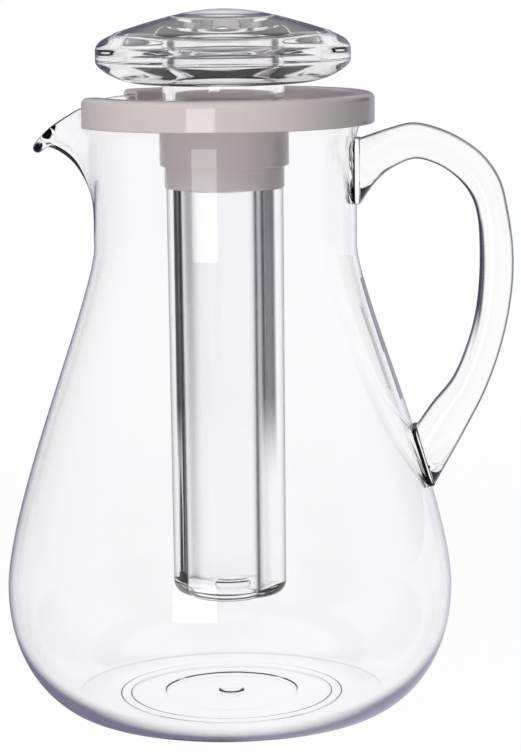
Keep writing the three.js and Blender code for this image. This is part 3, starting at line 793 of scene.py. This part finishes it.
def tube_rows():
    """Outline of the tube, with a flag for the rows that are lobed."""
    foot_start = at(TUBE_FOOT_RADIUS - TUBE_FOOT_CORNER, TUBE_BOTTOM)
    foot_end = at(TUBE_FOOT_RADIUS, TUBE_BOTTOM + TUBE_FOOT_CORNER)
    floor = TUBE_BOTTOM + TUBE_FLOOR
    inner_corner = TUBE_FOOT_CORNER - TUBE_WALL / 2
    bore_foot = at(TUBE_BORE, floor + inner_corner)
    floor_edge = at(TUBE_BORE - inner_corner, floor)
    nub_foot = at(TUBE_NUB_RADIUS, floor)
    nub_head = at(TUBE_NUB_RADIUS - TUBE_NUB_HEIGHT, floor + TUBE_NUB_HEIGHT)
    outer_wall = [
        at(0, TUBE_BOTTOM), foot_start, *corner(foot_start, foot_end, True),
        at(TUBE_RADIUS, TUBE_TOP)]
    spigot = [
        at(SPIGOT_RADIUS, TUBE_TOP), at(SPIGOT_RADIUS, COLLAR_TOP)]
    bore = [
        at(TUBE_BORE, COLLAR_TOP), bore_foot,
        *corner(bore_foot, floor_edge, False), nub_foot,
        *corner(nub_foot, nub_head, False, MEDIUM_CORNER_STEPS), at(0, floor + TUBE_NUB_HEIGHT)]
    return [(p, True) for p in outer_wall] + [(p, False) for p in spigot + bore]


def off_nearest_lobe(turn):
    """Angle from the nearest of the lobes, which stand evenly round the tube."""
    lobe_angle = TURN / LOBE_COUNT
    return turn - round(turn / lobe_angle) * lobe_angle


def lobe_share(angle):
    away = off_nearest_lobe(angle - LOBE_TURN)
    lobe = 1 - LOBE_OFFSET_SHARE
    aside = LOBE_OFFSET_SHARE * math.sin(away)
    return LOBE_OFFSET_SHARE * math.cos(away) + math.sqrt(lobe ** 2 - aside ** 2)


def groove_shade_share(place):
    """1 in the grooves between the lobes, 0 on the lobes: where dark lines of painted shade go."""
    away = off_nearest_lobe(math.atan2(place.y, place.x) - LOBE_TURN - TURN / LOBE_COUNT / 2)
    return math.exp(-(away / GROOVE_SHADE_ANGLE) ** 2)


def make_tube():
    rows = tube_rows()
    angles = even_angles(TUBE_SLICES)
    outlines = []
    for angle in angles:
        share = lobe_share(angle)
        outlines.append([at(p.x * share, p.y) if lobed else p.copy() for p, lobed in rows])
    verts, faces = skin(outlines, angles, False)
    tube = piece("tube", verts, faces)
    on_wall = away_from_axis(TUBE_BOTTOM + TUBE_RADIUS)
    # Marks where the painted edge shade may fall: the tube's outside
    mark(tube, "outside", on_wall)
    # Painted shade: dark lines in the grooves between the lobes
    mark(tube, "groove", lambda place, normal: groove_shade_share(place) * on_wall(place, normal))
    keep_flats_flat(tube)
    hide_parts("ice_tube")
    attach(tube, "tube")
    return tube


# Stopper

def stopper_outline():
    """Outside of the welded stopper with the bore of its neck, from the bore's lower end."""
    flat_edge = at(STOPPER_RADIUS * STOPPER_FLAT_SHARE, STOPPER_BOTTOM)
    seam_low = at(STOPPER_RADIUS, STOPPER_SEAM - SEAM_GROOVE)
    seam_high = at(STOPPER_RADIUS, STOPPER_SEAM + SEAM_GROOVE)
    groove = NECK_BOTTOM + RING_GROOVE_LIFT
    groove_radius = NECK_OUTER - RING_GROOVE_DEPTH
    under_pull = at(STOPPER_RADIUS - STOPPER_CURL, STOPPER_BOTTOM)
    under_push = at(STOPPER_RADIUS, STOPPER_SEAM - STOPPER_BULGE)
    belly = at(STOPPER_RADIUS, STOPPER_BELLY_TOP)
    belly_pull = at(STOPPER_RADIUS, STOPPER_BELLY_TOP + SHOULDER_FULLNESS)
    step = at(DOME_RADIUS + DOME_STEP, DOME_EDGE_HEIGHT - DOME_STEP)
    belly_push = at(step.x + SHOULDER_FULLNESS, step.y - SHOULDER_FULLNESS * SHOULDER_SLOPE)
    edge = at(DOME_RADIUS, DOME_EDGE_HEIGHT)
    dome_pull = at(DOME_RADIUS * DOME_PULL_SHARE, DOME_EDGE_HEIGHT + DOME_HEIGHT * DOME_RISE_SHARE)
    dome_push = at(DOME_RADIUS * DOME_PUSH_SHARE, STOPPER_TOP)
    bore_top = NECK_BORE - NECK_BORE_DRAFT
    return [
        at(0, NECK_TOP), at(bore_top - BORE_CORNER, NECK_TOP),
        *corner(
            at(bore_top - BORE_CORNER, NECK_TOP), at(bore_top, NECK_TOP - BORE_CORNER), True,
            BORE_CORNER_STEPS),
        at(NECK_BORE, NECK_BOTTOM), at(NECK_OUTER, NECK_BOTTOM), at(NECK_OUTER, groove),
        at(groove_radius, groove), at(groove_radius, groove + RING_GROOVE_HEIGHT),
        at(NECK_OUTER, groove + RING_GROOVE_HEIGHT), at(NECK_OUTER, STOPPER_BOTTOM), flat_edge,
        *bend(flat_edge, under_pull, under_push, seam_low, STOPPER_UNDER_STEPS),
        at(STOPPER_RADIUS - SEAM_GROOVE, STOPPER_SEAM), seam_high, belly,
        *bend(belly, belly_pull, belly_push, step, STOPPER_SHOULDER_STEPS), edge,
        *bend(edge, dome_pull, dome_push, at(0, STOPPER_TOP), DOME_STEPS)]


def cavity_outline():
    """Ring-shaped hollow round the neck, drawn so that its faces look into the hollow."""
    wall_foot = at(CAVITY_RADIUS, CAVITY_FLOOR + CAVITY_CORNER)
    floor_edge = at(CAVITY_RADIUS - CAVITY_CORNER, CAVITY_FLOOR)
    ceiling_edge = at(CAVITY_RADIUS - CAVITY_CORNER, CAVITY_CEILING)
    wall_head = at(CAVITY_RADIUS, CAVITY_CEILING - CAVITY_CORNER)
    return [
        wall_foot, *corner(wall_foot, floor_edge, False), at(NECK_OUTER, CAVITY_FLOOR),
        at(NECK_OUTER, CAVITY_CEILING), ceiling_edge, *corner(ceiling_edge, wall_head, True)]


def make_stopper():
    angles = even_angles(STOPPER_SLICES)
    verts, faces = skin([stopper_outline()] * STOPPER_SLICES, angles, False)
    hollow_verts, hollow_faces = skin([cavity_outline()] * STOPPER_SLICES, angles, True)
    first = len(verts)
    faces += [[first + vert for vert in face] for face in hollow_faces]
    stopper = piece("stopper", verts + hollow_verts, faces)
    # The painted edge shade falls on the stopper's belly and shoulder, outside the dome
    mark(
        stopper, "outside",
        lambda place, normal: place.z > STOPPER_BOTTOM and place.to_2d().length > DOME_RADIUS)
    keep_flats_flat(stopper)
    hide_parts("stopper_base", "stopper_cap")
    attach(stopper, "stopper")
    return stopper


# Materials

CLEAR = (0.985, 0.982, 0.99, 1.0)
# The next two colours are painted shade: clear acrylic turns to them towards its outlines, on
# downward-looking walls and in the tube's grooves
PAINTED_SHADE_PALE = (0.04, 0.03, 0.075, 1.0)
PAINTED_SHADE_DEEP = (0.006, 0.004, 0.008, 1.0)
SHADOW_TINT = (0.97, 0.97, 0.98, 1.0)
# Facing at which each piece's painted edge shade starts and at which it is full
JUG_EDGE = (0.74, 0.98)
GRIP_EDGE = (0.45, 0.72)
TUBE_EDGE = (0.5, 0.85)
STOPPER_EDGE = (0.75, 0.95)
JUG_MIRROR = 0.4
TUBE_MIRROR = 0.6
FULL_MIRROR = 1.0
# How much sooner the painted edge shade starts where the wall looks down
LOW_SHIFT = 0.3
ACRYLIC_INDEX = 1.49
WAVE_SCALE = 30.0
WAVE_DETAIL = 1.0
WAVE_STRENGTH = 0.02
WAVE_DEPTH = 0.001
PLASTIC_TONES = ((0.475, 0.425, 0.425, 1.0), (0.515, 0.465, 0.463, 1.0))
PLASTIC_GLOSS = (0.06, 0.1)
PLASTIC_INDEX = 1.5
PLASTIC_SHINE = 0.25
CLOUD_SCALE = 90.0
CLOUD_DETAIL = 3.0
GRAIN_SCALE = 900.0
GRAIN_DETAIL = 2.0
GRAIN_STRENGTH = 0.03
GRAIN_DEPTH = 0.0002
SILICONE_COLOUR = (0.72, 0.73, 0.74, 1.0)
SILICONE_GLOSS = (0.4, 0.55)
SILICONE_INDEX = 1.41
SILICONE_CLEARNESS = 0.5
DUST_SCALE = 600.0
DUST_DETAIL = 2.0


class Nodes:
    """Short calls for one node tree."""

    def __init__(self, tree):
        self.tree = tree
        tree.nodes.clear()

    def add(self, kind, **inputs):
        node = self.tree.nodes.new(kind)
        for name, value in inputs.items():
            self.put(node.inputs[name.replace("_", " ")], value)
        return node

    def put(self, socket, value):
        """Links an output to the socket, or sets a number or colour on it."""
        if isinstance(value, bpy.types.NodeSocket):
            self.tree.links.new(value, socket)
        else:
            socket.default_value = value

    def math(self, operation, first, second=0.0):
        node = self.tree.nodes.new("ShaderNodeMath")
        node.operation = operation
        self.put(node.inputs[0], first)
        self.put(node.inputs[1], second)
        return node.outputs[0]

    def mark(self, name):
        """Number stored on the vertices, 0 where there is none."""
        node = self.tree.nodes.new("ShaderNodeAttribute")
        node.attribute_name = name
        return node.outputs["Fac"]

    def ramp(self, value, low, high):
        """0 below low and 1 above high, smooth between."""
        node = self.add("ShaderNodeMapRange", Value=value, From_Min=low, From_Max=high)
        node.interpolation_type = "SMOOTHSTEP"
        return node.outputs["Result"]

    def noise(self, scale, detail):
        """Uneven value that stays with the piece."""
        place = self.add("ShaderNodeTexCoord").outputs["Object"]
        return self.add("ShaderNodeTexNoise", Vector=place, Scale=scale, Detail=detail).outputs["Fac"]

    def spread(self, value, ends):
        """A value from 0 to 1, moved to lie between two ends."""
        low, high = ends
        return self.add("ShaderNodeMapRange", Value=value, To_Min=low, To_Max=high).outputs["Result"]

    def output(self, surface, kind="ShaderNodeOutputMaterial"):
        self.add(kind, Surface=surface)

    def either(self, factor, first, second):
        """First shader where the factor is 0, second where it is 1."""
        mix = self.add("ShaderNodeMixShader", Fac=factor)
        self.put(mix.inputs[1], first)
        self.put(mix.inputs[2], second)
        return mix.outputs[0]


def material(name):
    made = bpy.data.materials.new(name)
    made.use_nodes = True
    return made, Nodes(made.node_tree)


def mixed(nodes, factor, low, high):
    """Colour between low and high."""
    node = nodes.add("ShaderNodeMix")
    node.data_type = "RGBA"
    amount = next(socket for socket in node.inputs if socket.type == "VALUE")
    ends = [socket for socket in node.inputs if socket.type == "RGBA"]
    for socket, value in zip([amount, *ends], (factor, low, high)):
        nodes.put(socket, value)
    return next(socket for socket in node.outputs if socket.type == "RGBA")


def clear_acrylic(name, edge, painted_shade_colour, mirror):
    """Clear moulded acrylic with slow waves in its surface. Its outside darkens to a painted shade
    colour towards the outline, from the first to the second number of edge, sooner where the wall looks
    down, and in the grooves, where dark lines are painted. Mirror is how much it mirrors face on."""
    made, nodes = material(name)
    waves = nodes.noise(WAVE_SCALE, WAVE_DETAIL)
    bump = nodes.add("ShaderNodeBump", Strength=WAVE_STRENGTH, Distance=WAVE_DEPTH, Height=waves)
    # Painted shade: the base colour darkens towards the outline, sooner on downward-looking walls, and
    # in the grooves
    facing = nodes.add("ShaderNodeLayerWeight", Blend=0.5)
    low = nodes.math("MULTIPLY", nodes.mark("low"), LOW_SHIFT)
    turned_away = nodes.math("ADD", facing.outputs["Facing"], low)
    rim = nodes.math("MULTIPLY", nodes.ramp(turned_away, *edge), nodes.mark("outside"))
    painted_shade_share = nodes.math("MAXIMUM", rim, nodes.mark("groove"))
    glass = nodes.add(
        "ShaderNodeBsdfPrincipled", Roughness=0.0, IOR=ACRYLIC_INDEX, Transmission_Weight=1.0,
        Specular_Tint=(mirror, mirror, mirror, 1.0), Base_Color=mixed(nodes, painted_shade_share, CLEAR, painted_shade_colour),
        Normal=bump.outputs["Normal"])
    clear = nodes.add("ShaderNodeBsdfTransparent", Color=SHADOW_TINT)
    shadow = nodes.add("ShaderNodeLightPath").outputs["Is Shadow Ray"]
    nodes.output(nodes.either(shadow, glass.outputs["BSDF"], clear.outputs["BSDF"]))
    return made


def grey_plastic():
    """Warm light grey glossy moulding with a barely uneven gloss."""
    made, nodes = material("grey_plastic")
    colour = nodes.add("ShaderNodeValToRGB", Fac=nodes.noise(CLOUD_SCALE, CLOUD_DETAIL))
    for element, tone in zip(colour.color_ramp.elements, PLASTIC_TONES):
        element.color = tone
    grain = nodes.noise(GRAIN_SCALE, GRAIN_DETAIL)
    gloss = nodes.spread(grain, PLASTIC_GLOSS)
    bump = nodes.add("ShaderNodeBump", Strength=GRAIN_STRENGTH, Distance=GRAIN_DEPTH, Height=grain)
    plastic = nodes.add(
        "ShaderNodeBsdfPrincipled", Base_Color=colour.outputs["Color"], Roughness=gloss,
        IOR=PLASTIC_INDEX, Specular_IOR_Level=PLASTIC_SHINE, Normal=bump.outputs["Normal"])
    nodes.output(plastic.outputs["BSDF"])
    return made


def silicone():
    """Translucent soft silicone, slightly dusty."""
    made, nodes = material("silicone")
    gloss = nodes.spread(nodes.noise(DUST_SCALE, DUST_DETAIL), SILICONE_GLOSS)
    rubber = nodes.add(
        "ShaderNodeBsdfPrincipled", Base_Color=SILICONE_COLOUR, Roughness=gloss,
        IOR=SILICONE_INDEX, Transmission_Weight=SILICONE_CLEARNESS)
    nodes.output(rubber.outputs["BSDF"])
    return made


def dress(objects, finish):
    for made in objects:
        made.data.materials.clear()
        made.data.materials.append(finish)


def dress_grip(jug, finish):
    """Gives the handle's faces of the jug a material of their own, with its own painted edge shade."""
    jug.data.materials.append(finish)
    for face in jug.data.polygons:
        face.material_index = int(on_grip(face.center / MM))


# Studio

FLOOR_HALF = 6.0
FLOOR_GAP = 0.0002
FLOOR_PAINT = (0.9, 0.9, 0.9, 1.0)
FLOOR_GLOW = 0.955
SHADOW_NEAR = 0.3
SHADOW_FAR = 1.2
# Reach over which the floor, as clear pieces show it, turns to the painted studio walls
TABLE_NEAR = 0.45
TABLE_FAR = 0.8
STUDIO_TURN = math.radians(5)
BACK_REACH = 34
FRONT_REACH = 40
SIDE_REACH = 20
REACH_FADE = 5
FRONT_SHARE = 0.8
SIDE_SHARE = 0.85
DARK_BAND = (36, 40, 50, 54)
AXIS_GUARD = 0.0001
JUG_FACES = 4
HALF_COUNT = 0.5
FAINT_SHARE = 0.92
SKY_START = 12
SKY_END = 30
AIM_HEIGHT = 0.17
# Name, azimuth, distance, height, width, tallness, radiance, whether pieces mirror it
SOFT_BOXES = [
    ("key", -12, 0.8, 0.1, 0.3, 0.2, 9.5, True),
    ("front", -14, 1.1, 1.2, 1.2, 1.0, 5.0, False),
    ("back", 175, 1.6, 0.6, 1.2, 1.0, 1.2, False)]
OUTSIDE_LEFT = (0.24, 0.22, 0.32, 1.0)
OUTSIDE_RIGHT = (0.75, 0.73, 0.84, 1.0)
RIGHT_START = 0.0
RIGHT_END = 0.3
STUDIO_DARK = (0.03, 0.024, 0.045, 1.0)
PLAIN_GREY = (0.12, 0.12, 0.12, 1.0)
WHITE = (1.0, 1.0, 1.0, 1.0)


def studio_walls(nodes, direction):
    """How bright the studio's wall is in a direction: white behind the jug, a little less in front
    and at both sides, dark between."""
    turned_by = nodes.add("ShaderNodeVectorRotate", Vector=direction)
    turned_by.rotation_type = "Z_AXIS"
    turned_by.inputs["Angle"].default_value = -STUDIO_TURN
    split = nodes.add("ShaderNodeSeparateXYZ", Vector=turned_by.outputs["Vector"])
    x, y = split.outputs["X"], split.outputs["Y"]
    squares = nodes.math("ADD", nodes.math("MULTIPLY", x, x), nodes.math("MULTIPLY", y, y))
    flat = nodes.math("ADD", nodes.math("SQRT", squares), AXIS_GUARD)

    def wall(along, reach, share):
        facing = nodes.math("DIVIDE", along, flat)
        low, high = (math.cos(math.radians(reach + fade)) for fade in (REACH_FADE, -REACH_FADE))
        return nodes.math("MULTIPLY", nodes.ramp(facing, low, high), share)

    back = wall(y, BACK_REACH, 1.0)
    front = wall(nodes.math("MULTIPLY", y, -1.0), FRONT_REACH, FRONT_SHARE)
    side = wall(nodes.math("ABSOLUTE", x), SIDE_REACH, SIDE_SHARE)
    return nodes.math("MAXIMUM", nodes.math("MAXIMUM", back, front), side)


def studio_seen(nodes, path, lit):
    """What a clear piece shows of the studio. The two walls of the empty jug show it white, a
    single faint mirroring in a thin wall nearly white, everything else as dark as it is."""

    def equals(value, number):
        away = nodes.math("ABSOLUTE", nodes.math("SUBTRACT", value, number))
        return nodes.math("LESS_THAN", away, HALF_COUNT)

    mirrorings, faces = path.outputs["Glossy Depth"], path.outputs["Transmission Depth"]
    through = nodes.math("MULTIPLY", equals(mirrorings, 0), equals(faces, JUG_FACES))
    thin = nodes.math("LESS_THAN", faces, JUG_FACES + HALF_COUNT)
    near = nodes.math("MULTIPLY", equals(mirrorings, 1), thin)
    faint = nodes.math("MULTIPLY", near, FAINT_SHARE)
    return nodes.math("MAXIMUM", nodes.math("MAXIMUM", through, faint), lit)


def has_entered(nodes, path):
    """1 for rays that have passed a clear face."""
    return nodes.math("GREATER_THAN", path.outputs["Transmission Depth"], HALF_COUNT)


def outside_tone(nodes, direction):
    """What outsides mirror of the studio: dim on the spout's side, paler on the handle's."""
    flat = nodes.add("ShaderNodeVectorMath", Vector=direction)
    flat.operation = "NORMALIZE"
    x = nodes.add("ShaderNodeSeparateXYZ", Vector=flat.outputs["Vector"]).outputs["X"]
    return mixed(nodes, nodes.ramp(x, RIGHT_START, RIGHT_END), OUTSIDE_LEFT, OUTSIDE_RIGHT)


def floor_finish():
    """Shows as white and keeps a faint shadow round the jug. Clear pieces show it white near the jug and
    farther off painted as the studio's walls, dark between them. Outsides mirror it in a painted dim
    tone."""
    made, nodes = material("floor")
    path = nodes.add("ShaderNodeLightPath")
    camera, glossy = path.outputs["Is Camera Ray"], path.outputs["Is Glossy Ray"]
    place = nodes.add("ShaderNodeTexCoord").outputs["Object"]
    reach = nodes.add("ShaderNodeVectorMath", Vector=place)
    reach.operation = "LENGTH"
    away = nodes.ramp(reach.outputs["Value"], SHADOW_NEAR, SHADOW_FAR)
    lightness = nodes.math("ADD", FLOOR_GLOW, nodes.math("MULTIPLY", away, 1 - FLOOR_GLOW))
    share = nodes.math("MULTIPLY", nodes.math("MAXIMUM", camera, glossy), lightness)
    # Painted reflection: clear pieces show the far floor painted with the studio's dark walls, and
    # outsides mirror it in a painted dim tone, while the camera sees it white
    far = nodes.ramp(reach.outputs["Value"], TABLE_NEAR, TABLE_FAR)
    seen = studio_seen(nodes, path, studio_walls(nodes, place))
    dim = nodes.math("MULTIPLY", far, nodes.math("SUBTRACT", 1.0, seen))
    painted_wall_shade = nodes.math("MULTIPLY", dim, nodes.math("SUBTRACT", 1.0, camera))
    mirrored = nodes.math("SUBTRACT", 1.0, nodes.math("MAXIMUM", camera, has_entered(nodes, path)))
    table = mixed(nodes, painted_wall_shade, WHITE, STUDIO_DARK)
    colour = mixed(nodes, mirrored, table, outside_tone(nodes, place))
    paint = nodes.add("ShaderNodeBsdfDiffuse", Color=FLOOR_PAINT)
    glow = nodes.add("ShaderNodeEmission", Color=colour, Strength=1.0)
    nodes.output(nodes.either(share, paint.outputs["BSDF"], glow.outputs["Emission"]))
    return made


def white_floor():
    half = FLOOR_HALF
    mesh = bpy.data.meshes.new("floor")
    corners = [(-half, -half, 0), (half, -half, 0), (half, half, 0), (-half, half, 0)]
    mesh.from_pydata(corners, [], [(0, 1, 2, 3)])
    floor = bpy.data.objects.new("floor", mesh)
    bpy.context.scene.collection.objects.link(floor)
    floor.location.z = -FLOOR_GAP
    floor.data.materials.append(floor_finish())


def shown_studio(nodes, path, direction, z):
    """Pale walls, dark gaps between them and a dark band under the ceiling."""
    rises = [math.sin(math.radians(angle)) for angle in DARK_BAND]
    band = nodes.math("SUBTRACT", nodes.ramp(z, *rises[:2]), nodes.ramp(z, *rises[2:]))
    above = nodes.ramp(z, rises[2], rises[3])
    lit = nodes.math("MAXIMUM", studio_walls(nodes, direction), above)
    lit = nodes.math("MULTIPLY", studio_seen(nodes, path, lit), nodes.math("SUBTRACT", 1.0, band))
    return mixed(nodes, lit, STUDIO_DARK, WHITE)


def mirrored_studio(nodes, direction, z):
    """Dim walls and a white sky."""
    sky = nodes.ramp(z, math.sin(math.radians(SKY_START)), math.sin(math.radians(SKY_END)))
    walls = mixed(nodes, studio_walls(nodes, direction), STUDIO_DARK, outside_tone(nodes, direction))
    return mixed(nodes, sky, walls, WHITE)


def studio_world():
    """White for the camera and grey as a light. Clear pieces show a studio inside, and outsides
    mirror it dimly."""
    world = bpy.data.worlds.new("studio")
    world.use_nodes = True
    bpy.context.scene.world = world
    nodes = Nodes(world.node_tree)
    path = nodes.add("ShaderNodeLightPath")
    direction = nodes.add("ShaderNodeTexCoord").outputs["Generated"]
    z = nodes.add("ShaderNodeSeparateXYZ", Vector=direction).outputs["Z"]
    first = nodes.math("LESS_THAN", path.outputs["Diffuse Depth"], HALF_COUNT)
    seen = nodes.math("MULTIPLY", path.outputs["Is Glossy Ray"], first)
    outside, inner = mirrored_studio(nodes, direction, z), shown_studio(nodes, path, direction, z)
    glass = mixed(nodes, has_entered(nodes, path), outside, inner)
    plain = mixed(nodes, path.outputs["Is Camera Ray"], PLAIN_GREY, WHITE)
    background = nodes.add("ShaderNodeBackground", Color=mixed(nodes, seen, plain, glass), Strength=1.0)
    nodes.output(background.outputs["Background"], "ShaderNodeOutputWorld")


def soft_box(name, azimuth, distance, height, width, tall, radiance, shows):
    """Soft box at an azimuth from the front, never seen by the camera and mirrored only if it
    shows."""
    lamp = bpy.data.lights.new(name, "AREA")
    lamp.shape = "RECTANGLE"
    lamp.size = width
    lamp.size_y = tall
    lamp.energy = radiance * math.pi * width * tall
    made = bpy.data.objects.new(name, lamp)
    bpy.context.scene.collection.objects.link(made)
    turn = math.radians(azimuth)
    place = Vector((distance * math.sin(turn), -distance * math.cos(turn), height))
    made.location = place
    made.rotation_euler = (Vector((0, 0, AIM_HEIGHT)) - place).to_track_quat("-Z", "Y").to_euler()
    made.visible_camera = False
    made.visible_transmission = False
    made.visible_glossy = shows


# Camera, as worked out from the photo's ellipses

CAMERA_DISTANCE = 1.044
CAMERA_HEIGHT = 0.290
CAMERA_AZIMUTH = math.radians(5)
CAMERA_PITCH = math.radians(8.9)
CAMERA_ROLL = math.radians(0.68)
FOCAL_PIXELS = 2789
PHOTO_WIDTH, PHOTO_HEIGHT = 521, 752
AXIS_PIXEL = 226.94
SENSOR_WIDTH = 36
CLIP_START = 0.01


def photo_camera():
    data = bpy.data.cameras.new("camera")
    data.sensor_width = SENSOR_WIDTH
    data.lens = FOCAL_PIXELS * SENSOR_WIDTH / PHOTO_HEIGHT
    data.clip_start = CLIP_START
    camera = bpy.data.objects.new("camera", data)
    bpy.context.scene.collection.objects.link(camera)
    bpy.context.scene.camera = camera
    yaw = math.atan((PHOTO_WIDTH / 2 - AXIS_PIXEL) / FOCAL_PIXELS)
    heading = CAMERA_AZIMUTH - yaw
    forward = Vector((
        -math.sin(heading) * math.cos(CAMERA_PITCH), math.cos(heading) * math.cos(CAMERA_PITCH),
        -math.sin(CAMERA_PITCH)))
    right = forward.cross(Vector((0, 0, 1))).normalized()
    up = right.cross(forward)
    rolled_right = right * math.cos(CAMERA_ROLL) - up * math.sin(CAMERA_ROLL)
    rolled_up = right * math.sin(CAMERA_ROLL) + up * math.cos(CAMERA_ROLL)
    turn = Matrix((rolled_right, rolled_up, -forward)).transposed().to_4x4()
    place = Vector((
        CAMERA_DISTANCE * math.sin(CAMERA_AZIMUTH), -CAMERA_DISTANCE * math.cos(CAMERA_AZIMUTH),
        CAMERA_HEIGHT))
    camera.matrix_world = Matrix.Translation(place) @ turn


photo_camera()
jug = make_jug()
tube = make_tube()
stopper = make_stopper()
lid = make_lid()
collar = make_collar()
seals = make_seals()
# The acrylics differ in their painted edge shade, where it starts and how dark it is, and in how much
# they mirror
dress([jug], clear_acrylic("jug_acrylic", JUG_EDGE, PAINTED_SHADE_PALE, JUG_MIRROR))
dress_grip(jug, clear_acrylic("grip_acrylic", GRIP_EDGE, PAINTED_SHADE_DEEP, FULL_MIRROR))
dress([tube], clear_acrylic("tube_acrylic", TUBE_EDGE, PAINTED_SHADE_DEEP, TUBE_MIRROR))
dress([stopper], clear_acrylic("stopper_acrylic", STOPPER_EDGE, PAINTED_SHADE_PALE, FULL_MIRROR))
dress([lid, collar], grey_plastic())
dress(seals, silicone())
white_floor()
studio_world()
for box in SOFT_BOXES:
    soft_box(*box)
bpy.context.scene.view_settings.view_transform = "Standard"
